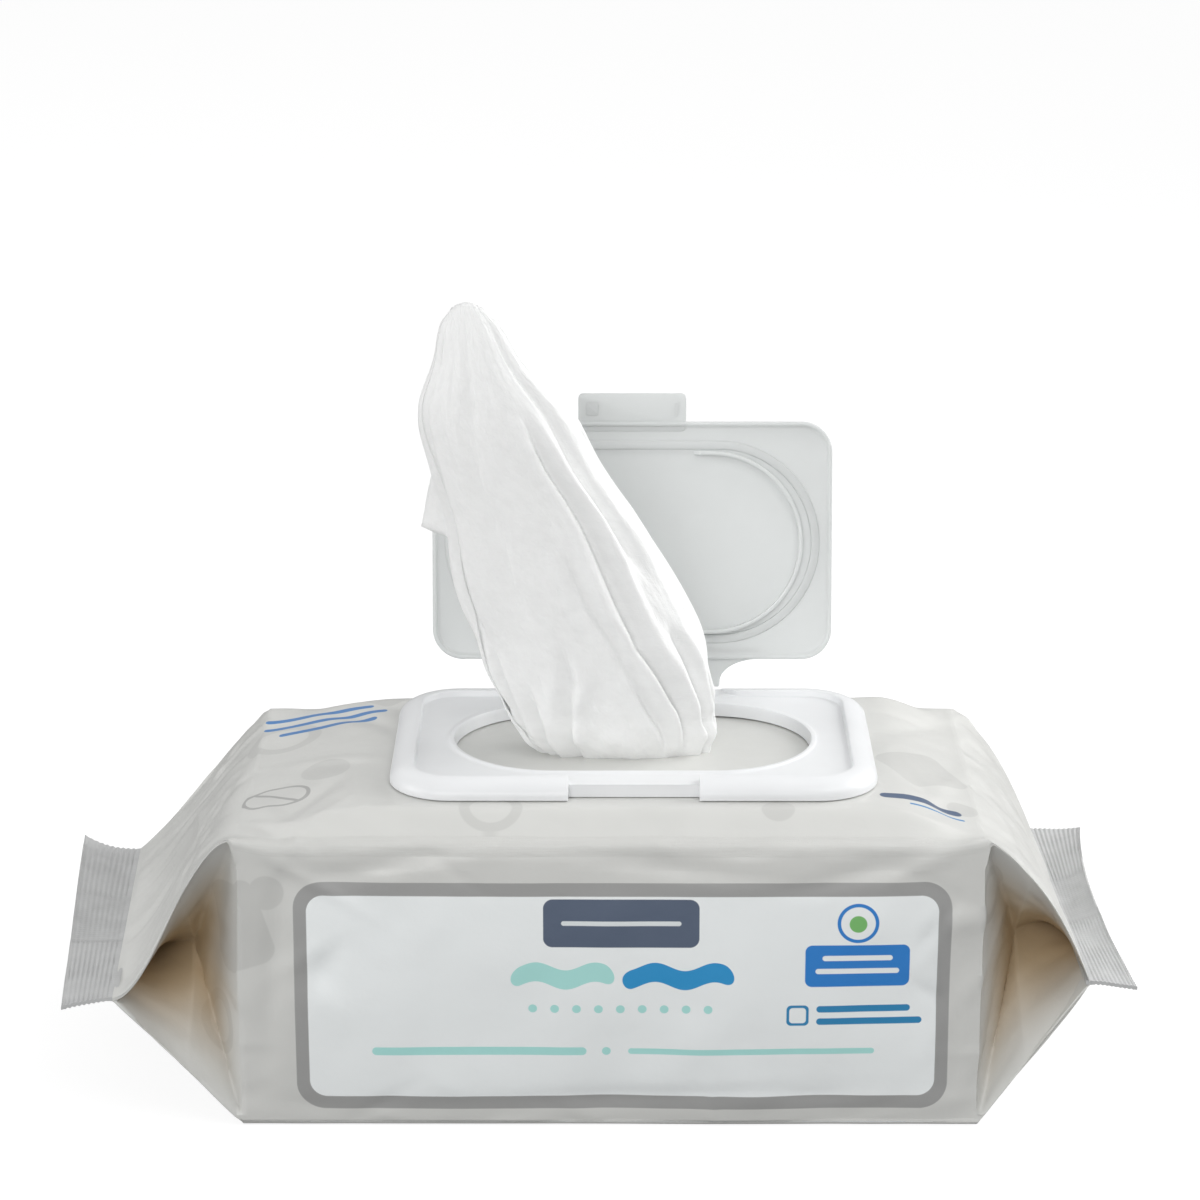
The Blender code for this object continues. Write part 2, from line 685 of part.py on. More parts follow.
def lid_frame():
    """The moulded frame: a rounded band, the flap's seat, an upright rim round the opening, hollow underneath."""
    edge = FRAME_FLOOR + FRAME_EDGE
    rings = [frame_ring(0.0, FRAME_FLOOR), frame_ring(0.0, edge)]
    slope = BAND_WIDTH - BAND_EASE
    for angle in (22.5, 45.0, 67.5, 90.0):
        turn = math.radians(angle)
        rings.append(frame_ring(slope * (1 - math.cos(turn)), edge + (FRAME_TOP - edge) * math.sin(turn)))
    rings += [
        frame_ring(BAND_WIDTH - BAND_EASE / 2, FRAME_TOP),
        frame_ring(BAND_WIDTH, SEAT_LEVEL),
        opening_ring(RIM_WIDTH, SEAT_LEVEL),
        opening_ring(RIM_WIDTH - BAND_EASE, SEAT_LEVEL + RIM_HEIGHT),
        opening_ring(0.0, SEAT_LEVEL + RIM_HEIGHT),
        opening_ring(-RIM_DRAFT, FRAME_FLOOR),
        opening_ring(RIM_WIDTH - RIM_DRAFT, FRAME_FLOOR),
        opening_ring(RIM_WIDTH, SEAT_LEVEL - SHELL),
        frame_ring(GLUE_LAND, SEAT_LEVEL - SHELL),
        frame_ring(GLUE_LAND, DECK_HEIGHT + 2 * GLUE_GAP + GLUE_THICKNESS),
        frame_ring(GLUE_INSET - SEAT_GAP, DECK_HEIGHT + 2 * GLUE_GAP + GLUE_THICKNESS),
        frame_ring(GLUE_INSET - SEAT_GAP, FRAME_FLOOR),
    ]
    frame = add_object("lid_frame", *ring_loft(rings, closed_profile=True), "lid")
    back = LID_Y + FRAME_DEPTH / 2
    half_strip = STRIP_WIDTH / 2 + HINGE_GAP
    boss = box(
        "hinge_boss",
        (LID_X - half_strip - SHELL, FLAP_BACK + 2 * HINGE_GAP, SEAT_LEVEL - SHELL / 2),
        (LID_X + half_strip + SHELL, back - BURIED, FRAME_TOP - SHELL / 2),
        "lid",
    )
    combine(frame, boss, "UNION")
    heel = box(
        "hinge_heel",
        (LID_X - half_strip - SHELL, back - GLUE_INSET + 2 * BURIED, FRAME_FLOOR + FRAME_EDGE / 2),
        (LID_X + half_strip + SHELL, back - BURIED, SEAT_LEVEL),
        "lid",
    )
    combine(frame, heel, "UNION")
    plan = strip_outline(grow=HINGE_GAP, past=HINGE_SETBACK + CUT_PAST)
    cut = [[(x, y, z) for x, y in plan] for z in (LAND_LEVEL, FRAME_TOP + CUT_PAST)]
    trough = add_object("hinge_trough", *ring_loft(cut), "lid")
    combine(frame, trough, "DIFFERENCE")
    front = LID_Y - FRAME_DEPTH / 2
    notch = box(
        "thumb_notch",
        (LID_X - THUMB_WIDTH / 2, front - CUT_PAST, THUMB_LEVEL),
        (LID_X + THUMB_WIDTH / 2, front + BAND_WIDTH + BURIED, FRAME_TOP + CUT_PAST),
        "lid",
    )
    combine(frame, notch, "DIFFERENCE")
    setback = box(
        "thumb_setback",
        (LID_X - THUMB_WIDTH / 2 - BURIED / 2, front - CUT_PAST, DECK_HEIGHT),
        (LID_X + THUMB_WIDTH / 2 + BURIED / 2, front + THUMB_SETBACK, FRAME_TOP + CUT_PAST),
        "lid",
    )
    combine(frame, setback, "DIFFERENCE")
    return frame


def lid_adhesive():
    """The flat ring of adhesive between the frame's land and the film."""
    low = DECK_HEIGHT + GLUE_GAP
    high = low + GLUE_THICKNESS
    inner = GLUE_LAND - SEAT_GAP
    rings = [
        frame_ring(GLUE_INSET, low),
        frame_ring(GLUE_INSET, high),
        frame_ring(inner, high),
        frame_ring(inner, low),
    ]
    return add_object("lid_adhesive", *ring_loft(rings, closed_profile=True), "glue")


def flap_ring(inset, z):
    """The flap's outline, moved in by an inset."""
    middle = (FLAP_FRONT + FLAP_BACK) / 2
    corner = max(FLAP_CORNER - inset, 0.002)
    return rounded_ring(FLAP_LENGTH - 2 * inset, FLAP_DEPTH - 2 * inset, corner, z, centre=(LID_X, middle), steps=6)


def flap_rib(name, outer_grow, width, height):
    """An oval rib under the flap, concentric with the opening."""
    root = PLATE_LEVEL + FLAP_PLATE / 2
    low = PLATE_LEVEL - height
    inner = outer_grow - width
    ease_in = width / 5
    rings = [
        opening_ring(outer_grow, root),
        opening_ring(outer_grow - ease_in, low),
        opening_ring(inner + ease_in, low),
        opening_ring(inner, root),
    ]
    return add_object(name, *ring_loft(rings, closed_profile=True), "flap")


def thumb_tab():
    """The tab's two sides: a rounded plate past the flap's front edge, with a dimple and a small rib under it."""
    middle = (LID_X, FLAP_FRONT - TAB_LENGTH / 2 + TAB_CORNER)
    length = TAB_LENGTH + 2 * TAB_CORNER
    low = PLATE_LEVEL + FLAP_PLATE - TAB_THICKNESS
    rings = [
        rounded_ring(TAB_WIDTH, length, TAB_CORNER, low, centre=middle, steps=3),
        rounded_ring(TAB_WIDTH, length, TAB_CORNER, low + TAB_THICKNESS - FLAP_EASE, centre=middle, steps=3),
        rounded_ring(
            TAB_WIDTH - 2 * FLAP_EASE,
            length - 2 * FLAP_EASE,
            TAB_CORNER,
            low + TAB_THICKNESS - BURIED / 4,
            centre=middle,
            steps=3,
        ),
    ]
    tab = add_object("thumb_tab", *ring_loft(rings), "flap")
    wide, long, deep = TAB_DIMPLE
    x = LID_X - TAB_WIDTH / 2 + TAB_DIMPLE_SIDE
    y = FLAP_FRONT - TAB_DIMPLE_SETBACK
    dimple = box("tab_dimple", (x, y - long, low - CUT_PAST), (x + wide, y, low + deep), "flap")
    x = LID_X + TAB_WIDTH / 2 - TAB_RIB_SIDE
    rib = box("tab_rib", (x, y - long, low - TAB_RIB_DEPTH), (x + TAB_RIB_WIDTH, y, low + TAB_THICKNESS / 2), "flap")
    return tab, dimple, rib


def lid_flap(pivot):
    """The flap: a plate with a skirt, two sealing ribs, a thumb tab, and the strip that bends at the hinge line."""
    top = PLATE_LEVEL + FLAP_PLATE
    skirt = PLATE_LEVEL - FLAP_SKIRT
    rings = [
        flap_ring(FLAP_EASE, top),
        flap_ring(0.0, top - FLAP_EASE),
        flap_ring(0.0, skirt),
        flap_ring(FLAP_SKIRT_WIDTH, skirt),
        flap_ring(FLAP_SKIRT_WIDTH + FLAP_EASE, PLATE_LEVEL),
    ]
    flap = add_object("lid_flap", *ring_loft(rings), "flap")
    faces = (HINGE_Z - STRIP_THICKNESS / 2, HINGE_Z + STRIP_THICKNESS / 2)
    strip_rings = [[(x, y, z) for x, y in strip_outline()] for z in faces]
    combine(flap, add_object("hinge_strip", *ring_loft(strip_rings), "flap"), "UNION")
    web = []
    half = STRIP_WIDTH / 2
    for x in (LID_X - half + BURIED, LID_X + half - BURIED):
        turns = [math.radians(30 * step) for step in range(12)]
        web.append([(x, HINGE_Y + WEB_RADIUS * math.cos(a), HINGE_Z + WEB_RADIUS * math.sin(a)) for a in turns])
    combine(flap, add_object("hinge_web", *ring_loft(web), "flap"), "UNION")
    ring_outside = RIM_WIDTH + RING_GAP + RING_WIDTH
    combine(flap, flap_rib("ring_rib", ring_outside, RING_WIDTH, RING_HEIGHT), "UNION")
    plug = flap_rib("plug_rib", -PLUG_GAP, PLUG_WIDTH, PLUG_HEIGHT)
    opening_front = LID_Y - OPENING_DEPTH / 2
    gap = box(
        "plug_break",
        (LID_X - PLUG_BREAK / 2, opening_front - PLUG_BREAK_REACH, PLATE_LEVEL - PLUG_HEIGHT - CUT_PAST),
        (LID_X + PLUG_BREAK / 2, opening_front + PLUG_BREAK_REACH, PLATE_LEVEL + CUT_PAST),
        "flap",
    )
    combine(plug, gap, "DIFFERENCE")
    combine(flap, plug, "UNION")
    tab, dimple, rib = thumb_tab()
    combine(tab, dimple, "DIFFERENCE")
    combine(tab, rib, "UNION")
    combine(flap, tab, "UNION")
    turned = Matrix.Rotation(-FLAP_OPEN, 4, "X") @ Matrix.Translation(-Vector((LID_X, HINGE_Y, HINGE_Z)))
    for obj in [flap, *[step.object for step in flap.modifiers], gap, dimple, rib]:
        obj.parent = pivot
        obj.matrix_basis = turned
    return flap


def shade(obj):
    obj.data.shade_smooth()
    obj.data.set_sharp_from_angle(angle=math.radians(32))


def main():
    clear_scene()
    film_pouch()
    wipe_stack()
    pulled_wipe()
    lid_adhesive()
    lid_frame()
    pivot = bpy.data.objects.new("flap_pivot", None)
    bpy.context.scene.collection.objects.link(pivot)
    pivot.location = (LID_X, HINGE_Y, HINGE_Z)
    lid_flap(pivot)
    for obj in bpy.context.scene.objects:
        if obj.type == "MESH":
            shade(obj)


main()
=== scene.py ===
import json
import math

import bmesh
import bpy
import numpy as np
from bpy.props import FloatProperty, FloatVectorProperty, IntProperty, PointerProperty
from mathutils import Matrix, Vector


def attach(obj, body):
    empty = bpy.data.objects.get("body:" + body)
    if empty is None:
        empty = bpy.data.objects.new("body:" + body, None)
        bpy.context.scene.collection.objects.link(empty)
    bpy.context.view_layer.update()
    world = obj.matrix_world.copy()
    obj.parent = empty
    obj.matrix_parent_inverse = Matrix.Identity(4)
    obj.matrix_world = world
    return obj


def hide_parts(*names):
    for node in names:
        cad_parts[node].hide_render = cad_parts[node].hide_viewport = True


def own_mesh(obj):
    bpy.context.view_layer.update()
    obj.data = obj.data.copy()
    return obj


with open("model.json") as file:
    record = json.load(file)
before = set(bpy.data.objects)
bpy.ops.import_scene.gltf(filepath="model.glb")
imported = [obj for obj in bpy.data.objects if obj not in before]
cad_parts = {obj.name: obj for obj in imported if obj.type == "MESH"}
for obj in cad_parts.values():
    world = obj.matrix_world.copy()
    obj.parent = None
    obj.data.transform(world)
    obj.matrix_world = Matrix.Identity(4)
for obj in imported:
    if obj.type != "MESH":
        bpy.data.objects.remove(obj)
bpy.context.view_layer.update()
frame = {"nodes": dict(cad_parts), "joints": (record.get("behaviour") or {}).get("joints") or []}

bl_info = {
    "name": "Wet wipes pack dresser",
    "version": (1, 0, 0),
    "blender": (4, 5, 0),
    "location": "View3D > Sidebar > Wipes pack",
    "description": "Film pouch, moulded lid and drawn wipe for a pack of wet wipes",
    "category": "Add Mesh",
}

# The pouch's own sizes, in metres, as its solid has them
HALF_BODY = 0.0932
HALF_DEPTH = 0.05315
SHOULDER_HEIGHT = 0.0760
DECK_HEIGHT = 0.0820
SHOULDER_RADIUS = 0.0070
BASE_RADIUS = 0.0020
FOLD_NOSE = 0.0004
FRONT_BULGE = 0.0022
DECK_MARGIN = 0.0030
LEFT_END_RUN = 0.0347
RIGHT_END_RUN = 0.0252
LEFT_END_SKEW = 0.0027
RIGHT_END_SKEW = 0.0020
SEAL_ROOT = 0.0012
TUCK_APEX = 0.42
TUCK_SOFTNESS = 0.0012
NOSE_RAMP = 0.06
NOSE_CLEARANCE = 0.0002
LEAST_SLANT = 0.0004
FOLD_REACH = 0.0005
# The film's section: evenly cut parts after each of its eight corners, and points round a corner
SECTION_PARTS = (2, 60, 2, 26, 2, 60, 2, 94)
CORNER_POINTS = 6
END_STATIONS = 66
BODY_STATIONS = 148
# The small raised ear at the front folds' peaks: how far past the fold, its length, its width and its rise
EAR_OFFSET = 0.0015
EAR_LENGTH = 0.0065
EAR_WIDTH = 0.0045
EAR_RISE = 0.0016
DEEPEST_TUCK = 0.026

# A seal's middle plane: height at its root, tilt towards the back, and how its edge curls up: everywhere,
# more towards the back, and in the middle
LEFT_PLANE = (0.0340, -0.0004, 0.0013, 0.0034, 0.0)
RIGHT_PLANE = (0.0394, 0.0004, 0.0, 0.0010, 0.0030)
# Shares of a seal's width: where it starts inside the body, where its saw cut begins, and its crimped band
SEAL_START = -0.09
SEAL_CUT = 0.93
CRIMP_START = 0.08
CRIMP_WIDTH = 0.84
# How much narrower than the body a seal is at each side, its grid, the thickness of two layers and of the two
# more at the gussets, the middle part without them, and how far the saw cut and the slow bend go
SEAL_SETBACK = 0.0002
SEAL_GRID = (197, 78)
SEAL_LAYERS = 0.00055
GUSSET_LAYERS = 0.00040
GUSSET_SHARE = 0.285
SAW_TOOTH = 0.00055
SEAL_BEND = 0.00070

# The lid's frame and flap. CORNER_ARC is how many points go round each corner of the frame's outlines.
CORNER_ARC = 22
LID_X = 0.0059
LID_Y = 0.0005
FRAME_LENGTH = 0.1244
FRAME_DEPTH = 0.0790
FRAME_CORNER = 0.0160
FRAME_FLOOR = 0.08224
FRAME_TOP = 0.0871
FRAME_EDGE = 0.0009
SEAT_LEVEL = 0.0854
LAND_LEVEL = 0.0860
BAND_WIDTH = 0.0065
OPENING_LENGTH = 0.0930
OPENING_DEPTH = 0.0524
THUMB_WIDTH = 0.0330
THUMB_SETBACK = 0.0032
THUMB_LEVEL = 0.08555
STRIP_HALF = 0.0237
STRIP_FLARE = 0.0062
STRIP_SPREAD = 0.0110
STRIP_THICKNESS = 0.0008
HINGE_GAP = 0.0003
FLAP_LENGTH = 0.1076
FLAP_CORNER = 0.0082
FLAP_FRONT = -0.0320
FLAP_BACK = 0.0322
PLATE_LEVEL = 0.08625
PLATE = 0.0010
SKIRT = 0.0006
TAB_WIDTH = 0.0290
TAB_LENGTH = 0.0076
TAB_THICKNESS = 0.0012
TAB_ROOT = 0.0013

HINGE = frame["joints"][0]["pos_m"]
FLAP_OPEN = math.radians(101.0)

# Height above the slot, place along the pack, half width and half depth of the drawn wipe's gathered section
WIPE_STATIONS = np.array([
    (0.0000, 0.0040, 0.0196, 0.0062),
    (0.0040, 0.0026, 0.0226, 0.0092),
    (0.0140, -0.0008, 0.0253, 0.0112),
    (0.0320, -0.0050, 0.0288, 0.0120),
    (0.0485, -0.0114, 0.0279, 0.0115),
    (0.0645, -0.0170, 0.0245, 0.0105),
    (0.0790, -0.0240, 0.0214, 0.0095),
    (0.0935, -0.0292, 0.0190, 0.0080),
    (0.1060, -0.0329, 0.0116, 0.0055),
    (0.1165, -0.0352, 0.0070, 0.0022),
    (0.1212, -0.0362, 0.0036, 0.0001),
])
# Long creases of the drawn wipe: shares of its height, their angles there in degrees round the section from
# the right, half width in degrees, depth as a share of the section, and where each begins and ends
WIPE_CREASES = (
    ((0.0, 0.05, 0.13, 0.27, 0.60, 0.75), (-36, -39, -45, -63, -62, -66), 4.2, 0.34, 0.00, 0.80),
    ((0.0, 0.08, 0.23, 0.36, 0.45), (-54, -57, -74, -83, -83), 4.0, 0.26, 0.00, 0.52),
    ((0.0, 0.19, 0.30), (-127, -106, -104), 3.6, 0.22, -0.10, 0.30),
    ((0.0, 0.14), (-143, -136), 4.5, 0.30, -0.10, 0.20),
    ((0.0, 0.14, 0.4), (-158, -152, -160), 4.0, 0.26, -0.10, 0.30),
    ((0.0, 0.10, 0.30), (-20, -24, -40), 4.0, 0.26, -0.10, 0.34),
    ((0.0, 0.10, 0.2), (-4, -8, -16), 4.5, 0.30, -0.10, 0.24),
    ((0.3, 0.62, 0.8, 1.0), (-118, -119, -106, -100), 6.0, 0.08, 0.30, 1.05),
    ((0.35, 0.6, 1.0), (-160, -160, -150), 5.5, 0.13, 0.25, 1.05),
    ((0.45, 0.7, 1.0), (-84, -82, -80), 6.0, 0.07, 0.45, 1.05),
    ((0.45, 0.7, 1.0), (-40, -44, -50), 5.0, 0.14, 0.40, 1.05),
    ((0.0, 0.5, 1.0), (28, 40, 36), 6.0, 0.30, -0.10, 1.10),
    ((0.0, 0.5, 1.0), (70, 74, 70), 6.0, 0.32, -0.10, 1.10),
    ((0.0, 0.5, 1.0), (112, 104, 110), 5.0, 0.30, -0.10, 1.10),
    ((0.0, 0.5, 1.0), (150, 146, 150), 6.0, 0.28, -0.10, 1.10),
)
# Fine pleats of the wipe: how many go round it, where the first lies, and how they drift with height
WIPE_PLEATS = ((17, 0.3, 1.7), (27, 2.1, -1.9), (41, 4.0, 1.1))
# Their depth at the pinch and at the slot, and how strongly it goes with a pleat's share of the round
PINCH_PLEATS = 0.13
SLOT_PLEATS = 0.16
PLEAT_ROOM = 1.28
# The sheet's points across and up, its foot's height, its lean to the front and how far its tip's sides drop
WIPE_GRID = (380, 120)
WIPE_FOOT = 0.0811
WIPE_LEAN = -0.0040
WIPE_TIP_DROP = 0.0014
# Where the sheet's section begins, how far round it goes, and the part of the cloth above the slot
WIPE_START = -1.04 * math.pi
WIPE_WRAP = 1.07
WIPE_WIDTH = 0.180
WIPE_SHOWN = 0.125
# The folded stack's leaves: how fast their sine waves turn with its height, in radians for each metre
LEAF_WAVES = 9000.0
# The loose corner at the drawn wipe's left: share of the width, heights, lift; and the lift of its overlap
LOOSE_REACH = 0.045
LOOSE_LOW = 0.50
LOOSE_HIGH = 0.63
LOOSE_LIFT = 0.30
OVERLAP_LIFT = 0.03

# The stage: the floor just under the pack, its glow to the camera, where the lamps point, and the camera
FLOOR_GAP = 0.0002
FLOOR_CORNERS = ((-6, -6), (6, -6), (6, 8), (-6, 8))
FLOOR_GLOW = 0.84
LAMP_TARGET = (0.0, 0.0, 0.06)
# Lamps: name, place, size, the setting that holds the power, and the share of it that this lamp has
LAMPS = (
    ("key lamp", (0.55, -0.70, 1.20), 0.8, "key_light", 1.0),
    ("front lamp", (-0.45, -1.70, 0.75), 1.0, "front_light", 1.0),
    ("side lamp", (0.62, 0.18, 0.40), 0.5, "fill_light", 1.15),
    ("left lamp", (-0.95, -0.25, 0.32), 0.6, "fill_light", 0.8),
    ("back lamp", (-0.6, 1.1, 1.1), 0.9, "fill_light", 0.4),
)
CAMERA_PLACE = (-0.00121, -0.92501, 0.41020)
CAMERA_DIP = 17.244
CAMERA_TURN = 0.0915

# Long soft furrows in the film: place on the flat web, direction in degrees, half length, half width, depth
FILM_CREASES = (
    (-0.084, 0.045, 84.0, 0.024, 0.0032, 0.0009),
    (-0.052, 0.071, 12.0, 0.020, 0.0028, 0.0008),
    (0.014, 0.070, -8.0, 0.026, 0.0030, 0.0008),
    (0.062, 0.068, 16.0, 0.018, 0.0028, 0.0007),
    (0.085, 0.030, 96.0, 0.020, 0.0034, 0.0009),
    (0.004, 0.007, 2.0, 0.050, 0.0026, 0.0006),
    (-0.076, 0.098, 62.0, 0.016, 0.0030, 0.0009),
    (-0.066, 0.155, -48.0, 0.018, 0.0034, 0.0009),
    (0.081, 0.104, -64.0, 0.017, 0.0032, 0.0009),
    (0.084, 0.155, 50.0, 0.015, 0.0032, 0.0008),
)

# Short random creases: how many near the ends, how many along the long edges, and those edges' heights
END_CREASES = 90
EDGE_CREASES = 46
EDGE_PLACES = (0.074, 0.078, 0.004, 0.180)
# Slow swells of the film: depth, cell and seed
SWELLS = ((0.00060, 0.030, 3), (0.00022, 0.011, 5))
# Pleats that fan out from the seals: where they begin, how fast they grow and their depth
FAN_START = 0.086
FAN_GROWTH = 0.03
FAN_DEPTH = 0.00030

# Where the folds are weaker: how they fade beside the lid's frame and how wide that frame counts, what is
# left of them in its opening and on the base, and the last part of an end, where they fade to the seal
CALM_OVERLAP = 0.001
CALM_GROWTH = 0.006
CALM_FRAME = 0.012
CALM_OPENING = 0.25
CALM_BASE = 0.15
CALM_SEAL = 0.05

# Colours of the plain print
MINT = (0.42, 0.76, 0.72)
BLUE = (0.03, 0.22, 0.62)
SEA = (0.03, 0.30, 0.62)
TEAL = (0.03, 0.24, 0.48)
NAVY = (0.10, 0.13, 0.19)
GREEN = (0.20, 0.50, 0.16)
PALE = (0.75, 0.79, 0.80)
GREY = (0.40, 0.40, 0.39)

# Ghost motifs on the film's ground: place along the pack and up the flat film, half size, kind and turn
GHOSTS = (
    (-0.0740, 0.1180, 0.0066, "disc", 0.0), (-0.0880, 0.1500, 0.0105, "ring", 0.0),
    (-0.0300, 0.0855, 0.0080, "ring", 0.0), (0.0810, 0.1190, 0.0100, "square", 0.5),
    (0.0905, 0.0980, 0.0040, "disc", 0.0), (-0.0975, 0.0520, 0.0115, "square", 0.3),
    (-0.1060, 0.0220, 0.0085, "ring", 0.0), (-0.0860, 0.0620, 0.0045, "disc", 0.0),
    (0.1010, 0.0600, 0.0075, "ring", 0.0), (0.0420, 0.0850, 0.0042, "disc", 0.0),
    (-0.0600, 0.1710, 0.0052, "square", 0.8), (0.0300, 0.2140, 0.0100, "ring", 0.0),
    (-0.0500, 0.2240, 0.0090, "square", 0.4), (0.0740, 0.2320, 0.0070, "disc", 0.0),
    (-0.0120, 0.2460, 0.0050, "disc", 0.0),
)
# How soft the edges of the ghost motifs and of the other print are
GHOST_EDGE = 0.0003
PRINT_EDGE = 0.00012

# Plain bars and dots of the print: place along the pack and up the flat film, half length, half height,
# corner, turn and colour
BARS = (
    (0.0027, 0.0548, 0.0195, 0.0063, 0.0024, 0.0, NAVY),
    (0.0027, 0.0548, 0.0150, 0.0006, 0.0006, 0.0, PALE),
    (-0.0330, 0.0200, 0.0270, 0.0011, 0.0011, 0.0, MINT),
    (-0.0010, 0.0200, 0.0011, 0.0011, 0.0011, 0.0, MINT),
    (0.0355, 0.0200, 0.0310, 0.0008, 0.0008, 0.0, MINT),
    (0.0618, 0.0434, 0.0131, 0.0056, 0.0018, 0.0, BLUE),
    (0.0618, 0.0455, 0.0088, 0.0007, 0.0007, 0.0, "label"),
    (0.0618, 0.0420, 0.0105, 0.0007, 0.0007, 0.0, "label"),
    (0.0618, 0.0546, 0.0022, 0.0022, 0.0022, 0.0, GREEN),
    (0.0635, 0.0317, 0.0118, 0.0009, 0.0009, 0.0, TEAL),
    (0.0650, 0.0283, 0.0133, 0.0009, 0.0009, 0.0, TEAL),
    (-0.0860, 0.1040, 0.0078, 0.0006, 0.0006, -0.7, GREY),
    (-0.0790, 0.1655, 0.0150, 0.0011, 0.0011, 0.00, (0.05, 0.20, 0.48)),
    (-0.0770, 0.1600, 0.0170, 0.0011, 0.0011, 0.05, (0.05, 0.20, 0.48)),
    (-0.0760, 0.1545, 0.0135, 0.0011, 0.0011, 0.10, (0.05, 0.20, 0.48)),
    (0.0790, 0.0945, 0.0110, 0.0016, 0.0016, 0.0, (0.08, 0.12, 0.20)),
    (0.0830, 0.0905, 0.0075, 0.0005, 0.0005, 0.0, (0.08, 0.25, 0.50)),
)
# Hollow shapes: place, half length, half height and corner, the wall, the corner inside, and colour
HOLLOWS = (
    (0.0618, 0.0548, 0.0052, 0.0052, 0.0052, 0.0009, 0.0043, BLUE),
    (0.0470, 0.0300, 0.0028, 0.0028, 0.0012, 0.0007, 0.0009, TEAL),
    (-0.0860, 0.1040, 0.0090, 0.0075, 0.0075, 0.0011, 0.0064, GREY),
)
# Wavy ribbons: place, half length and colour. Both have the same half height, wave and rise.
RIBBONS = ((-0.0120, 0.0408, 0.0130, MINT), (0.0170, 0.0408, 0.0140, SEA))
RIBBON_HALF = 0.0026
RIBBON_WAVES = 420.0
RIBBON_RISE = 0.0011
# A row of dots: half size, height, and the first place, the last and how many
DOT_HALF = 0.0011
DOT_LINE = 0.0318
DOT_RUN = (-0.0195, 0.0245, 9)
# The ring round the front label: its corner, its width at the sides and on the rails, and the label's corner
RING_CORNER = 0.0072
RING_SIDES = 0.0033
RING_RAILS = 0.0035
LABEL_CORNER = 0.0045


def smooth(t):
    """Smooth step from 0 to 1."""
    t = np.clip(t, 0.0, 1.0)
    return t * t * (3 - 2 * t)


def bumpy(points, cell, seed):
    """Smooth noise from -1 to 1: random values on a square lattice, eased from point to point."""
    rng = np.random.default_rng(seed)
    table = rng.uniform(-1, 1, 4096)
    p = points / cell
    low = np.floor(p).astype(np.int64)
    f = smooth(p - low)
    total = 0.0
    for dx in (0, 1):
        for dy in (0, 1):
            pick = ((low[..., 0] + dx) * 73 + (low[..., 1] + dy) * 1319) % 4096
            wx = f[..., 0] if dx else 1 - f[..., 0]
            wy = f[..., 1] if dy else 1 - f[..., 1]
            total = total + table[pick] * wx * wy
    return total


def furrow(u, v, place, direction, half_length, half_width, depth):
    """A furrow of Gaussian section along a short straight line on the flat film."""
    angle = np.radians(direction)
    along = (u - place[0]) * np.cos(angle) + (v - place[1]) * np.sin(angle)
    across = -(u - place[0]) * np.sin(angle) + (v - place[1]) * np.cos(angle)
    return -depth * np.exp(-((along / half_length) ** 2) - (across / half_width) ** 2)


def together(*parts):
    """Points from arrays of their coordinates, which are spread to one shape."""
    return np.stack(np.broadcast_arrays(*parts), -1)


def grid_faces(rows, cols, close_rows=False, close_cols=False, first=0):
    """Quads of a grid of points, joined round on itself where asked."""
    i = np.arange(rows if close_rows else rows - 1)[:, None]
    j = np.arange(cols if close_cols else cols - 1)[None, :]
    a = i * cols + j
    b = i * cols + (j + 1) % cols
    c = ((i + 1) % rows) * cols + (j + 1) % cols
    d = ((i + 1) % rows) * cols + j
    return together(a, b, c, d).reshape(-1, 4) + first


def add_piece(name, points, faces, caps=(), soft_angle=None):
    """A mesh object at the origin from an array of points, an array of quads and a few closing faces."""
    mesh = bpy.data.meshes.new(name)
    places = np.asarray(points).reshape(-1, 3).tolist()
    polygons = np.asarray(faces).tolist() + [list(cap) for cap in caps]
    mesh.from_pydata(places, [], polygons)
    mesh.validate()
    mesh.shade_smooth()
    if soft_angle:
        mesh.set_sharp_from_angle(angle=math.radians(soft_angle))
    obj = bpy.data.objects.new(name, mesh)
    bpy.context.scene.collection.objects.link(obj)
    return obj


def store(obj, name, values):
    """Keeps one number or one vector for each point of a mesh."""
    values = np.asarray(values, np.float32)
    kind = "FLOAT_VECTOR" if values.ndim > 1 else "FLOAT"
    layer = obj.data.attributes.new(name, kind, "POINT")
    layer.data.foreach_set("vector" if values.ndim > 1 else "value", values.reshape(-1))


def outward(obj):
    """Turns every face of a closed mesh outwards."""
    work = bmesh.new()
    work.from_mesh(obj.data)
    bmesh.ops.recalc_face_normals(work, faces=work.faces)
    work.to_mesh(obj.data)
    work.free()


def seal_height(side, v, u=0.0):
    """Height of a seal's middle plane. v goes from -1 at the front to 1 at the back, u from root to edge."""

    def plane(height, tilt, curl, back_curl, middle_curl):
        return height + tilt * v + (curl + back_curl * v + middle_curl * (1 - v * v)) * u * u

    return np.where(side < 0, plane(*LEFT_PLANE), plane(*RIGHT_PLANE))


def seal_root(side, v):
    """Distance along the pack from its middle to a seal's root."""
    left = HALF_BODY + LEFT_END_RUN + LEFT_END_SKEW * v
    return np.where(side < 0, left, HALF_BODY + RIGHT_END_RUN - RIGHT_END_SKEW * v)


def end_fall(side, t, v):
    """Share of the top panel's fall towards a seal, from 0 at the body to 1 at the seal's root.

    It mixes a straight fall with a late one: the film is puffed out at the back and sags at the front.
    """
    front = smooth(-v)
    late = np.where(side < 0, smooth(t**1.15), 0.38 * t + 0.62 * t**2.5)
    back = np.where(side < 0, 0.8 * t + 0.2 * smooth(t), 0.42 * t + 0.58 * t**2.1)
    return (1 - front) * back + front * late


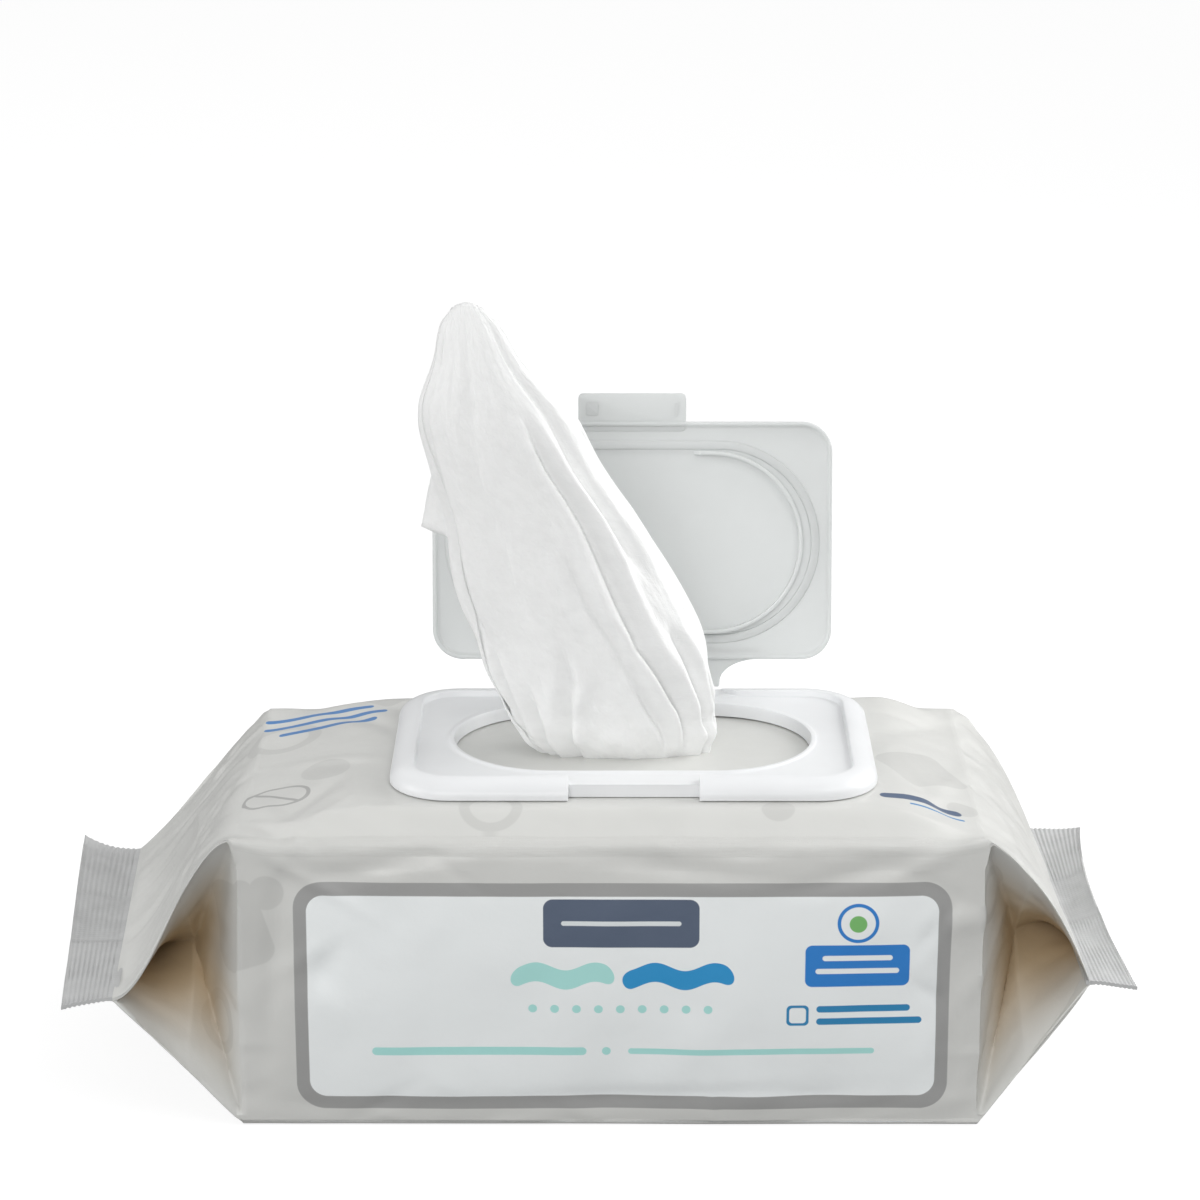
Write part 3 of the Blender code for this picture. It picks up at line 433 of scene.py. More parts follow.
def crown(x, y):
    """Rise of the top panel above its shoulders: level under the lid and falling to every edge."""
    reach_x = np.abs(x - LID_X) - FRAME_LENGTH / 2 - DECK_MARGIN
    room_x = HALF_BODY - np.copysign(LID_X, x - LID_X) - FRAME_LENGTH / 2 - DECK_MARGIN
    reach_y = np.abs(y - LID_Y) - FRAME_DEPTH / 2 - DECK_MARGIN
    room_y = HALF_DEPTH - FRAME_DEPTH / 2 - DECK_MARGIN
    return (DECK_HEIGHT - SHOULDER_HEIGHT) * smooth(1 - reach_x / room_x) * smooth(1 - reach_y / room_y)


def section_corners(side, t):
    """The eight corners of the film's section at every station, how far each is rounded, and the two tucks.

    The section has level panels above and below and a tuck in each side. A side panel keeps its length: an
    inner upright part that shrinks from the whole panel to nothing at the tuck's apex, and two equal slants.
    A slant's rise is half of what the gap leaves beside the inner part, so the tuck's depth squared is the
    slant squared less the rise squared.
    """
    open_end = smooth(1 - t / NOSE_RAMP)
    nose_top = FOLD_NOSE + (SHOULDER_RADIUS - FOLD_NOSE) * open_end + NOSE_CLEARANCE
    nose_low = FOLD_NOSE + (BASE_RADIUS - FOLD_NOSE) * open_end + NOSE_CLEARANCE
    halves, tucks = [], []
    for v in (-1.0, 1.0):
        middle = seal_height(side, v)
        top = SHOULDER_HEIGHT - (SHOULDER_HEIGHT - middle - SEAL_ROOT / 2) * end_fall(side, t, v)
        low = (middle - SEAL_ROOT / 2) * t
        gap = top - low
        inner = SHOULDER_HEIGHT * np.maximum(1 - t / TUCK_APEX, 0.0)
        slant = (SHOULDER_HEIGHT - inner) / 2
        rise = np.maximum((gap - inner) / 2, 0.0)
        depth = np.sqrt(np.maximum(slant**2 - rise**2, 0.0))
        y = np.full_like(t, v * HALF_DEPTH)
        nose_top_here = np.minimum(nose_top, 0.4 * gap)
        nose_low_here = np.minimum(nose_low, 0.4 * gap)
        halves.append([
            together(y, top),
            together(y, top - nose_top_here),
            together(y, low + nose_low_here),
            together(y, low),
        ])
        upper = top - np.clip(rise, np.minimum(nose_top_here + LEAST_SLANT, 0.5 * gap), 0.5 * gap)
        lower = low + np.clip(rise, np.minimum(nose_low_here + LEAST_SLANT, 0.5 * gap), 0.5 * gap)
        tucks.append([together(y - v * depth, upper), together(y - v * depth, lower)])
    corners = np.stack(halves[0] + halves[1][::-1], 1)
    fold = np.full_like(t, FOLD_REACH)
    reach = [nose_top - NOSE_CLEARANCE, fold, fold, nose_low - NOSE_CLEARANCE]
    return corners, np.stack(reach + reach[::-1], 1), tucks


def along_tuck(start, upper, lower, end, k):
    """Points at even shares k of the way down a tuck: slant, inner part and slant, softened at its folds.

    Each point is the mean of the places a little before it, at it and a little after it on the bent line.
    """
    stops = np.stack([start, upper, lower, end], 1)
    legs = np.linalg.norm(np.diff(stops, axis=1), axis=2)
    total = legs.sum(1, keepdims=True)
    mean = 0.0
    for offset, weight in ((-1, 0.25), (0, 0.5), (1, 0.25)):
        at = k[None, :] * total + offset * np.minimum(TUCK_SOFTNESS, np.minimum(k, 1 - k)[None, :] * total)
        place, passed = start[:, None] + 0.0, np.zeros_like(total)
        for leg in range(3):
            share = np.clip((at - passed) / np.maximum(legs[:, leg : leg + 1], 1e-9), 0, 1)
            place = place + share[..., None] * (stops[:, leg + 1] - stops[:, leg])[:, None]
            passed = passed + legs[:, leg : leg + 1]
        mean = mean + weight * place
    return mean


def section_points(side, t):
    """The film's section at every station: corners rounded by parabolas, and sides cut evenly between them.

    The second result tells the panel: 0 top, 1 front, 2 base, 3 back.
    """
    corners, reach, tucks = section_corners(side, t)
    before = np.roll(corners, 1, 1) - corners
    after = np.roll(corners, -1, 1) - corners
    len_before = np.linalg.norm(before, axis=2)
    len_after = np.linalg.norm(after, axis=2)
    reach = np.minimum(reach, 0.45 * np.minimum(len_before, len_after))
    start = corners + before / np.maximum(len_before, 1e-9)[..., None] * reach[..., None]
    end = corners + after / np.maximum(len_after, 1e-9)[..., None] * reach[..., None]
    s = np.linspace(0, 1, CORNER_POINTS)[None, :, None]
    ring, panel = [], []
    panel_of = (0.0, 1.0, 1.0, 2.0, 2.0, 3.0, 3.0, 0.0)
    side_of = (1.0, 1.0, 1.0, 2.0, 3.0, 3.0, 3.0, 0.0)
    for i in range(8):
        p0, p1, p2 = start[:, None, i], corners[:, None, i], end[:, None, i]
        ring.append((1 - s) ** 2 * p0 + 2 * s * (1 - s) * p1 + s**2 * p2)
        panel.append(np.linspace(panel_of[i], side_of[i], CORNER_POINTS))
        k = np.arange(1, SECTION_PARTS[i]) / SECTION_PARTS[i]
        nxt = start[:, (i + 1) % 8]
        if i in (1, 5):
            upper, lower = tucks[0] if i == 1 else tucks[1][::-1]
            ring.append(along_tuck(end[:, i], upper, lower, nxt, k))
        else:
            ring.append(p2 * (1 - k)[None, :, None] + nxt[:, None] * k[None, :, None])
        panel.append(np.full(len(k), side_of[i]))
    return np.concatenate(ring, 1), np.concatenate(panel)


def walked_lengths(points, x, panel):
    """Lengths walked along the film: from the pack's middle, and up from the front lower edge."""
    step_u = np.linalg.norm(np.diff(points, axis=0), axis=2)
    u = np.concatenate([np.zeros((1, points.shape[1])), np.cumsum(step_u, 0)])
    u = u - u[len(u) // 2] + x[len(u) // 2]
    step_w = np.linalg.norm(np.diff(points, axis=1), axis=2)
    walk = np.concatenate([np.zeros((points.shape[0], 1)), np.cumsum(step_w, 1)], 1)
    foot = int(np.argmax(panel >= 2.0))
    w = walk[:, foot : foot + 1] - walk
    return u, np.where(w < 0, w + walk[:, -1:], w)


def outward_normals(points):
    """Unit normals of a tube of points."""
    normal = np.cross(np.roll(points, -1, 1) - np.roll(points, 1, 1), np.gradient(points, axis=0))
    normal /= np.maximum(np.linalg.norm(normal, axis=2), 1e-12)[..., None]
    inwards = (normal * (points - points.mean((0, 1)))).sum() < 0
    return -normal if inwards else normal


def pouch_grid(settings):
    """The whole film skin as a grid: stations from the left seal to the right, and points round each section.

    Returns the points, the flat-film place of each point in metres with its panel, and how deep it lies in a
    tuck.
    """
    ends = 1 - np.linspace(0, 1, END_STATIONS + 1)[:-1] ** 1.1
    body = np.linspace(-1, 1, BODY_STATIONS) * (HALF_BODY - 1e-5)
    t = np.concatenate([ends, np.zeros(len(body)), ends[::-1]])
    side = np.concatenate([-np.ones(END_STATIONS), np.where(body < 0, -1, 1), np.ones(END_STATIONS)])
    x = np.concatenate([np.zeros(END_STATIONS), body, np.zeros(END_STATIONS)])
    flat, panel = section_points(side, t)
    y, z = flat[..., 0], flat[..., 1]
    t, side, x = t[:, None], side[:, None], x[:, None]
    v = np.clip(y / HALF_DEPTH, -1, 1)
    at_end = t > 0
    px = np.where(at_end, side * (HALF_BODY + t * (seal_root(side, v) - HALF_BODY)), x)
    top = np.where(panel < 0.5, 1 - 2 * panel, 0.0)[None, :]
    in_side = ((panel > 0.99) & (panel < 1.01)) | (panel > 2.99)
    edge = smooth((HALF_DEPTH - np.abs(y)) / (0.5 * SHOULDER_RADIUS))
    z = z + crown(np.clip(px, -HALF_BODY, HALF_BODY), y) * top * edge * (1 - t)
    up = np.sin(np.pi * np.clip(z / SHOULDER_HEIGHT, 0, 1))
    along = np.where(at_end, 0.0, 1 - (px / HALF_BODY) ** 4)
    y = y + np.where(in_side[None, :], np.copysign(FRONT_BULGE * up * along, y), 0.0)
    past_fold = (np.abs(px) - HALF_BODY - EAR_OFFSET) / EAR_LENGTH
    from_front = (HALF_DEPTH + y) / EAR_WIDTH
    ear = np.exp(-(past_fold**2) - from_front**2) * (z > 0.5 * SHOULDER_HEIGHT)
    z = z + EAR_RISE * ear
    points = together(px, y, z)

    u, w = walked_lengths(points, x, panel)
    lift = film_folds(u, w, settings.fold_depth, settings.fold_seed)
    lift = lift * fold_share(px, y, t, panel[None, :])
    points = points + outward_normals(points) * lift[..., None]
    points[..., 2] = np.maximum(points[..., 2], 0.0)
    full = np.maximum(HALF_DEPTH - np.abs(points[..., 1]), 0) * in_side[None, :]
    depth = np.clip(full / DEEPEST_TUCK, 0, 1) * (t > 0)
    return points, together(u, w, panel), depth


def fold_share(x, y, t, panel):
    """Share of the folds' depth at each point.

    It is none under the lid's frame and at a seal's root, a little in the lid's opening and on the base, and
    all of it elsewhere.
    """
    lid = np.maximum(np.abs(x - LID_X) - FRAME_LENGTH / 2, np.abs(y - LID_Y) - FRAME_DEPTH / 2)
    share = np.where(panel < 0.5, smooth((lid + CALM_OVERLAP) / CALM_GROWTH), 1.0)
    share = np.where((panel < 0.5) & (lid < -CALM_FRAME), CALM_OPENING, share)
    share = np.where((panel >= 1.9) & (panel <= 2.1) & (t == 0), CALM_BASE, share)
    return share * smooth((1 - t) / CALM_SEAL)


def film_folds(u, w, amount, seed):
    """Rise and fall of the film over its flat place.

    It adds up long furrows, short random ones, a slow swell, and pleats that fan out from the seals and die
    away on the body.
    """
    lift = np.zeros_like(u)
    for cu, cv, direction, half_length, half_width, depth in FILM_CREASES:
        lift += furrow(u, w, (cu, cv), direction, half_length, half_width, depth)
    rng = np.random.default_rng(seed)
    for _ in range(END_CREASES):
        end = rng.choice([-1, 1])
        cu = end * rng.uniform(0.070, 0.118)
        cv = rng.uniform(0.0, 0.26)
        direction = rng.normal(0.0, 32.0) + (0 if rng.random() < 0.6 else 70)
        lift += furrow(
            u, w, (cu, cv), direction, rng.uniform(0.006, 0.020),
            rng.uniform(0.0015, 0.0032), rng.choice([-1, 1]) * rng.uniform(0.00014, 0.00060),
        )
    for _ in range(EDGE_CREASES):
        cu = rng.uniform(-0.085, 0.085)
        cv = rng.choice(EDGE_PLACES) + rng.normal(0.0, 0.004)
        lift += furrow(
            u, w, (cu, cv), rng.normal(0.0, 24.0), rng.uniform(0.005, 0.014),
            rng.uniform(0.0014, 0.0026), rng.choice([-1, 1]) * rng.uniform(0.00010, 0.00038),
        )
    flat = together(u, w)
    lift += sum(depth * bumpy(flat, cell, number) for depth, cell, number in SWELLS)
    near = smooth((np.abs(u) - FAN_START) / FAN_GROWTH)
    broad = bumpy(together(u * 0.25, w), 0.0060, 11)
    narrow = bumpy(together(u * 0.3, w), 0.0036, 12)
    lift += FAN_DEPTH * near * (broad + 0.5 * narrow)
    return lift * amount


def seal_grid(side, width, ridge_depth, ridges):
    """A crimped seal as a closed plate. Rows run from front to back and columns from root to saw-cut edge.

    Thickness is the film's layers, four at the gussets and two between, plus cosine ridges that run along the
    seal. The edge is a triangle wave. A slow wave bends the whole plate a little.
    """
    depth = HALF_DEPTH - SEAL_SETBACK
    rows, cols = SEAL_GRID
    v = np.linspace(-1, 1, rows)[:, None]
    u = np.concatenate([[SEAL_START], np.linspace(0.0, SEAL_CUT, cols - 2), [1.0]])[None, :]
    fold = smooth((np.abs(v) - GUSSET_SHARE) / 0.05 + 0.5)
    phase = (u - CRIMP_START) / CRIMP_WIDTH * ridges
    ridge = 0.5 - 0.5 * np.cos(2 * np.pi * phase)
    grooves = ridge_depth * (0.25 + 0.75 * fold) * (ridge - 0.5) * ((phase > 0) & (phase < ridges))
    patch = bumpy(together(v * 9 + 40, u * 2), 1.0, 7 if side < 0 else 8)
    grooves = grooves * (0.72 + 0.55 * patch)
    flat = SEAL_LAYERS + GUSSET_LAYERS * fold
    root = smooth(1 - u / 0.1)
    half = (flat + (SEAL_ROOT - flat) * root) / 2
    tooth = (np.arange(rows) % 2)[:, None] * SAW_TOOTH * (u >= 0.99)
    reach = width * np.where(side < 0, 0.96 + 0.08 * v, 0.68 + 0.09 * v + 0.34 * v * v)
    x = side * (seal_root(side, v) + u * reach - tooth)
    wander = together(v * 4 + 11, u * 1.2)
    bend = SEAL_BEND * bumpy(wander, 1.0, 21 if side < 0 else 22) * smooth(u * 2)
    middle = seal_height(side, v, np.maximum(u, 0)) + bend
    layers = [middle + half + grooves, middle - half + grooves]
    points = np.stack([together(x, v * depth, h) for h in layers])
    near = rows * cols
    faces = [grid_faces(rows, cols), grid_faces(rows, cols, first=near)[:, ::-1]]
    i = np.arange(rows - 1)
    for col in (0, cols - 1):
        a = i * cols + col
        faces.append(together(a, a + cols, a + cols + near, a + near))
    j = np.arange(cols - 1)
    for row in (0, rows - 1):
        a = row * cols + j
        faces.append(together(a, a + 1, a + 1 + near, a + near))
    flat_place = together(u * width, v * depth, fold)
    return points.reshape(-1, 3), np.concatenate(faces), np.concatenate([flat_place.reshape(-1, 3)] * 2)


def outline(half_x, half_y, radius, cuts, arc=CORNER_ARC):
    """A rounded rectangle in plan, anticlockwise from the right side's front end.

    cuts are the places of the points along each straight side, as shares of its half length: right, back,
    left and front. Corners have equal angles.
    """
    sx, sy = half_x - radius, half_y - radius
    turn = np.linspace(0, math.pi / 2, arc)
    corners = []
    for k, (cx, cy) in enumerate(((sx, sy), (-sx, sy), (-sx, -sy), (sx, -sy))):
        angle = turn + k * math.pi / 2
        corners.append(together(cx + radius * np.cos(angle), cy + radius * np.sin(angle)))
    right, back, left, front = cuts
    sides = (
        together(half_x, right * sy),
        together(-back * sx, half_y),
        together(-half_x, -left * sy),
        together(front * sx, -half_y),
    )
    return np.concatenate([part for pair in zip(sides, corners) for part in pair])


def with_walls(count, places):
    """Even shares along a straight side, with a close pair of points at each named place."""
    even = np.linspace(-0.97, 0.97, count)
    for place in places:
        even = even[np.abs(np.abs(even) - place) > 0.012]
    pairs = [s * (p + d) for p in places for d in (-0.0012, 0.0012) for s in (-1, 1)]
    return np.sort(np.concatenate([even, pairs]))


def strip_half_width(y, grow):
    """Half width of the hinge strip, or of its trough, at a place across the pack: a quarter ellipse."""
    drop = np.maximum(FLAP_BACK + STRIP_FLARE - y, 0.0) / (STRIP_FLARE - grow)
    return STRIP_HALF + STRIP_SPREAD - (STRIP_SPREAD - grow) * np.sqrt(np.maximum(1 - drop**2, 0.0))


def frame_grid():
    """The lid frame as a closed loop of outlines: foot, band, step, seat, upright rim, opening, underside.

    The band is a quarter ellipse. The thumb notch and the hinge trough lower it between their walls.
    """
    band_half = FRAME_LENGTH / 2 - FRAME_CORNER
    wall_front = THUMB_WIDTH / 2 / band_half
    wall_back = (STRIP_HALF + HINGE_GAP) / band_half
    cuts = (
        np.linspace(-0.95, 0.95, 12),
        with_walls(64, [wall_back]),
        np.linspace(-0.95, 0.95, 12),
        with_walls(64, [wall_front]),
    )
    edge = FRAME_FLOOR + FRAME_EDGE
    slope = BAND_WIDTH - 0.0007
    rows = [("band", 0.0002, FRAME_FLOOR), ("band", 0.0, FRAME_FLOOR + 0.0002)]
    for angle in np.radians(np.linspace(0, 90, 16)):
        rows.append(("band", slope * (1 - math.cos(angle)), edge + (FRAME_TOP - edge) * math.sin(angle)))
    for angle in np.radians(np.linspace(20, 80, 4)):
        rows.append(("band", slope + 0.0005 * math.sin(angle), FRAME_TOP - 0.0005 * (1 - math.cos(angle))))
    rows.append(("band", BAND_WIDTH - 0.0001, SEAT_LEVEL + 0.0003))
    for share in (0.0, 0.5, 1.0):
        rows.append(("band", BAND_WIDTH + 0.0003 * share, SEAT_LEVEL + 0.00012 * (1 - share) ** 2))
    rows.append(("band", BAND_WIDTH + 0.0012, SEAT_LEVEL))
    for grow, lift in (
        (0.0042, 0.0), (0.0026, 0.0), (0.00165, 0.00003), (0.00135, 0.0002), (0.0012, 0.00034),
        (0.0009, 0.0004), (0.0004, 0.0004), (0.0001, 0.00034), (0.0, 0.0002),
    ):
        rows.append(("opening", grow, SEAT_LEVEL + lift))
    rows += [
        ("opening", -0.0001, SEAT_LEVEL - 0.0010),
        ("opening", -0.0003, FRAME_FLOOR + 0.0002),
        ("opening", 0.0, FRAME_FLOOR),
        ("opening", 0.0010, FRAME_FLOOR),
        ("opening", 0.0013, SEAT_LEVEL - 0.0013),
        ("band", 0.0090, SEAT_LEVEL - 0.0013),
        ("band", 0.0090, FRAME_FLOOR + 0.0003),
        ("band", 0.0036, FRAME_FLOOR + 0.0003),
        ("band", 0.0033, FRAME_FLOOR),
    ]
    rings = []
    for kind, inset, z in rows:
        if kind == "band":
            half_x, half_y = FRAME_LENGTH / 2 - inset, FRAME_DEPTH / 2 - inset
            ring = outline(half_x, half_y, max(FRAME_CORNER - inset, 0.003), cuts)
        else:
            half_y = OPENING_DEPTH / 2 + inset
            ring = outline(OPENING_LENGTH / 2 + inset, half_y, half_y - 1e-5, cuts)
        level = np.full(len(ring), z)
        if kind == "band" and inset <= BAND_WIDTH:
            trough_and_notch(ring, level, cuts)
        rings.append(together(ring[:, 0] + LID_X, ring[:, 1] + LID_Y, level))
    points = np.stack(rings)
    return points, grid_faces(len(rows), points.shape[1], close_rows=True, close_cols=True)


def trough_and_notch(ring, level, cuts, arc=CORNER_ARC):
    """Lowers one outline of the band at the hinge trough and the thumb notch, whose edge it sets back."""
    band_half = FRAME_LENGTH / 2 - FRAME_CORNER
    back = slice(len(cuts[0]) + arc, len(cuts[0]) + arc + len(cuts[1]))
    first = back.stop + arc + len(cuts[2]) + arc
    front = slice(first, first + len(cuts[3]))
    x = ring[back, 0]
    nominal = STRIP_HALF + HINGE_GAP
    wide = strip_half_width(ring[back, 1] + LID_Y, HINGE_GAP)
    near = np.abs(x) * wide / nominal
    far = wide + (np.abs(x) - nominal) * (band_half - wide) / (band_half - nominal)
    inside = np.abs(x) < nominal
    ring[back, 0] = np.sign(x) * np.where(inside, near, far)
    level[back] = np.where(inside, np.minimum(level[back], LAND_LEVEL), level[back])
    inside = np.abs(ring[front, 0]) < THUMB_WIDTH / 2
    set_back = np.maximum(ring[front, 1], -FRAME_DEPTH / 2 + THUMB_SETBACK)
    ring[front, 1] = np.where(inside, set_back, ring[front, 1])
    level[front] = np.where(inside, np.minimum(level[front], THUMB_LEVEL), level[front])


def loops(rows, cuts, arc, centre):
    """A closed shell of outlines. Each row is half length, half depth, corner and height."""
    rings = []
    for half_x, half_y, radius, z in rows:
        ring = outline(half_x, half_y, radius, cuts, arc)
        rings.append(together(ring[:, 0] + centre[0], ring[:, 1] + centre[1], z))
    points = np.stack(rings)
    count = points.shape[1]
    last = (len(rows) - 1) * count
    caps = [range(count)[::-1], range(last, last + count)]
    return points.reshape(-1, 3), grid_faces(len(rows), count, close_cols=True), caps


def flap_parts(settings):
    """The flap shut on its seat, as a list of closed shells: plate, two ribs, tab and hinge strip."""
    sides = np.linspace(-0.94, 0.94, 12)
    cuts = (sides, sides, sides, sides)
    middle = (LID_X, (FLAP_FRONT + FLAP_BACK) / 2)
    half_x, half_y = FLAP_LENGTH / 2, (FLAP_BACK - FLAP_FRONT) / 2
    top = PLATE_LEVEL + PLATE
    low = PLATE_LEVEL - SKIRT
    profile = [
        (1.6, top), (0.40, top), (0.22, top - 0.00004), (0.08, top - 0.00014), (0.0, top - 0.0004),
        (0.0, low + 0.0003), (0.06, low + 0.0001), (0.2, low), (1.0, low), (1.14, low + 0.0001),
        (1.2, low + 0.0003), (1.36, PLATE_LEVEL - 0.0002), (1.6, PLATE_LEVEL - 0.00006), (2.0, PLATE_LEVEL),
    ]
    rows = [(half_x - i * 1e-3, half_y - i * 1e-3, max(FLAP_CORNER - i * 1e-3, 0.002), z) for i, z in profile]
    shells = [loops(rows, cuts, 20, middle)]
    outer_rib = (0.0040, 0.0028, 0.0024, settings.rib_height)
    inner_rib = (-0.0006, 0.0009, 0.0011, 0.0019)
    shells += [rib_shell(*outer_rib, broken=False), rib_shell(*inner_rib, broken=True)]
    tab_y = FLAP_FRONT - TAB_LENGTH / 2 + TAB_ROOT
    tab_half = TAB_LENGTH / 2 + TAB_ROOT
    tab_low = top - TAB_THICKNESS
    rows = [
        (TAB_WIDTH / 2 - i * 1e-3, tab_half - i * 1e-3, 0.0013 - i * 0.5e-3, z)
        for i, z in (
            (0.25, tab_low), (0.08, tab_low + 0.00006), (0.0, tab_low + 0.0002),
            (0.0, top - 0.0003), (0.1, top - 0.0001), (0.35, top - 0.00001),
        )
    ]
    shells.append(loops(rows, cuts, 12, (LID_X, tab_y)))
    rib_x = LID_X + TAB_WIDTH / 2 - 0.0026
    rows = [(0.0004, 0.0018, 0.0002, tab_low + 0.0003), (0.0004, 0.0018, 0.0002, tab_low - 0.0002)]
    shells.append(loops(rows, cuts, 6, (rib_x, FLAP_FRONT - 0.0033)))
    rows = [(0.0018, 0.0019, 0.0005, tab_low + 0.0001), (0.0015, 0.0016, 0.0005, tab_low - 0.0001)]
    shells.append(loops(rows, cuts, 6, (LID_X - TAB_WIDTH / 2 + 0.0037, FLAP_FRONT - 0.0033)))
    shells.append(strip_shell())
    return shells


def rib_shell(grow, flatten, width, height, broken):
    """An oval rib round the opening: a rounded strip on the plate, cut away at the tab side if broken."""
    root = PLATE_LEVEL + 0.0003
    low = PLATE_LEVEL - height
    profile = [(0.0, root), (-0.02, low + 0.0003), (-0.08, low + 0.00008), (-0.25, low), (-0.75, low),
               (-0.92, low + 0.00008), (-0.98, low + 0.0003), (-1.0, root)]
    fine = np.linspace(-0.96, 0.96, 40)
    rings = []
    for share, z in profile:
        g = grow + share * width
        half_y = OPENING_DEPTH / 2 + g - flatten
        cuts = (fine[:3], fine, fine[:3], fine)
        ring = outline(OPENING_LENGTH / 2 + g, half_y, half_y - 1e-5, cuts, 40)
        if broken:
            away = smooth((np.abs(ring[:, 0]) - 0.0165) / 0.0014)
            away = np.where(ring[:, 1] < -0.012, away, 1.0)
            z = PLATE_LEVEL + 0.0003 + (z - PLATE_LEVEL - 0.0003) * away
        rings.append(together(ring[:, 0] + LID_X, ring[:, 1] + LID_Y, z))
    points = np.stack(rings)
    return points.reshape(-1, 3), grid_faces(len(profile), points.shape[1], True, True), []


def strip_shell():
    """The hinge strip: a thin rounded bar that flares to the flap by a quarter ellipse and ends in a web."""
    flare = FLAP_BACK + STRIP_FLARE * (1 - np.cos(np.linspace(0, math.pi / 2, 18)))
    neck = np.linspace(FLAP_BACK + STRIP_FLARE + 0.0002, HINGE[1] - 0.0001, 5)
    y = np.concatenate([[FLAP_BACK - 0.003], flare, neck, [HINGE[1] + 0.0004]])
    half = strip_half_width(y, 0.0)
    half[0] = half[1] = STRIP_HALF + STRIP_SPREAD
    half[-1] -= 0.0003
    thin = np.full(len(y), STRIP_THICKNESS / 2)
    thin[-1] = 0.00012
    around = np.linspace(0, 2 * math.pi, 48, endpoint=False)
    cx, cz = np.cos(around), np.sin(around)
    flat_x = np.sign(cx) * np.abs(cx) ** 0.12
    flat_z = np.sign(cz) * np.abs(cz) ** 0.6
    x = LID_X + half[:, None] * flat_x
    z = HINGE[2] + thin[:, None] * flat_z
    points = together(x, y[:, None], z)
    count = len(around)
    last = (len(y) - 1) * count
    caps = [range(count)[::-1], range(last, last + count)]
    return points.reshape(-1, 3), grid_faces(len(y), count, close_cols=True), caps


def join_shells(shells):
    """Several shells as one list of points, faces and caps."""
    points, faces, caps, first = [], [], [], 0
    for p, f, c in shells:
        points.append(p)
        faces.append(f + first)
        caps += [[k + first for k in cap] for cap in c]
        first += len(p)
    return np.concatenate(points), np.concatenate(faces), caps


def wipe_curve(height):
    """Place and half sizes of the gathered section at each height, on a smooth curve through the stations."""
    h = WIPE_STATIONS[:, 0]
    slopes = np.gradient(WIPE_STATIONS[:, 1:], h, axis=0)
    i = np.clip(np.searchsorted(h, height) - 1, 0, len(h) - 2)
    span = (h[i + 1] - h[i])[:, None]
    s = ((height - h[i]) / (h[i + 1] - h[i]))[:, None]
    a, b = WIPE_STATIONS[i, 1:], WIPE_STATIONS[i + 1, 1:]
    return (2 * s**3 - 3 * s**2 + 1) * a + (3 * s**2 - 2 * s**3) * b + span * (
        (s**3 - 2 * s**2 + s) * slopes[i] + (s**3 - s**2) * slopes[i + 1])


def crease_section(off):
    """Section of a crease of the wipe, in half widths from its middle: a valley between two low rolls."""
    rolls = 0.45 * np.exp(-((off - 2.1) ** 2) / 1.6) + 0.35 * np.exp(-((off + 2.3) ** 2) / 2.0)
    return np.exp(-(off**2)) - rolls


def wipe_grid(settings):
    """The drawn wipe as one sheet: across it the gathered section, up it the height.

    The section goes once round an ellipse and overlaps itself a little at its left. Its distance from the
    middle is one, less a Gaussian valley for each long crease, whose angle drifts with height, plus a low
    roll on both sides of it, less fine cosine pleats that fade away from the pinch and the slot.
    """
    across, up = WIPE_GRID
    top = WIPE_STATIONS[-1, 0]
    b = np.linspace(0, 1, up)
    height = b * top
    cx, half_w, half_d = (column[:, None] for column in wipe_curve(height).T)
    b = b[:, None]
    a = np.linspace(0, 1, across)[None, :]
    angle = WIPE_START + 2 * math.pi * WIPE_WRAP * a
    scale = np.ones_like(a * b)
    for heights, degrees, sigma, depth, low, high in WIPE_CREASES:
        middle = np.radians(np.interp(b, heights, degrees))
        off = (angle - middle + math.pi) % (2 * math.pi) - math.pi
        off = off / math.radians(sigma)
        here = smooth((b - low) / 0.10) * smooth((high - b) / 0.12)
        scale -= depth * settings.pleat_depth * here * crease_section(off)
    pinch = smooth((b - 0.50) / 0.5)
    slot = smooth((0.22 - b) / 0.22)
    for count, phase, drift in WIPE_PLEATS:
        wave = 0.5 + 0.5 * np.cos(count * (angle + 0.10 * np.sin(2 * angle + 2 * b)) + phase + drift * b)
        scale -= (PINCH_PLEATS * pinch + SLOT_PLEATS * slot) / count * PLEAT_ROOM * (1 - wave**1.7)
    flow = together(angle * 0.028, b * 0.030)
    scale += 0.022 * bumpy(flow, 0.0052, 31) + 0.011 * bumpy(flow, 0.0024, 32) * (0.5 + slot + pinch)
    crumple = together(angle * 0.020, b * 0.12)
    scale += 0.05 * slot * bumpy(crumple, 0.0036, 33)
    loose = np.clip(1 - a / LOOSE_REACH, 0, 1)
    corner = np.clip((b - LOOSE_LOW) / 0.006, 0, 1) * np.clip((LOOSE_HIGH - b) / 0.12, 0, 1) ** 0.7
    scale += LOOSE_LIFT * loose * corner
    scale += OVERLAP_LIFT * smooth((a - 0.95) / 0.05)
    x = cx + half_w * scale * np.cos(angle)
    y = WIPE_LEAN * np.sin(math.pi * b / 2) + half_d * scale * np.sin(angle)
    z = WIPE_FOOT + height[:, None] - WIPE_TIP_DROP * smooth((b - 0.95) / 0.05) * np.cos(angle) ** 2
    points = together(x, y, z)
    return points, together(a * WIPE_WIDTH, b * WIPE_SHOWN, 0.0)


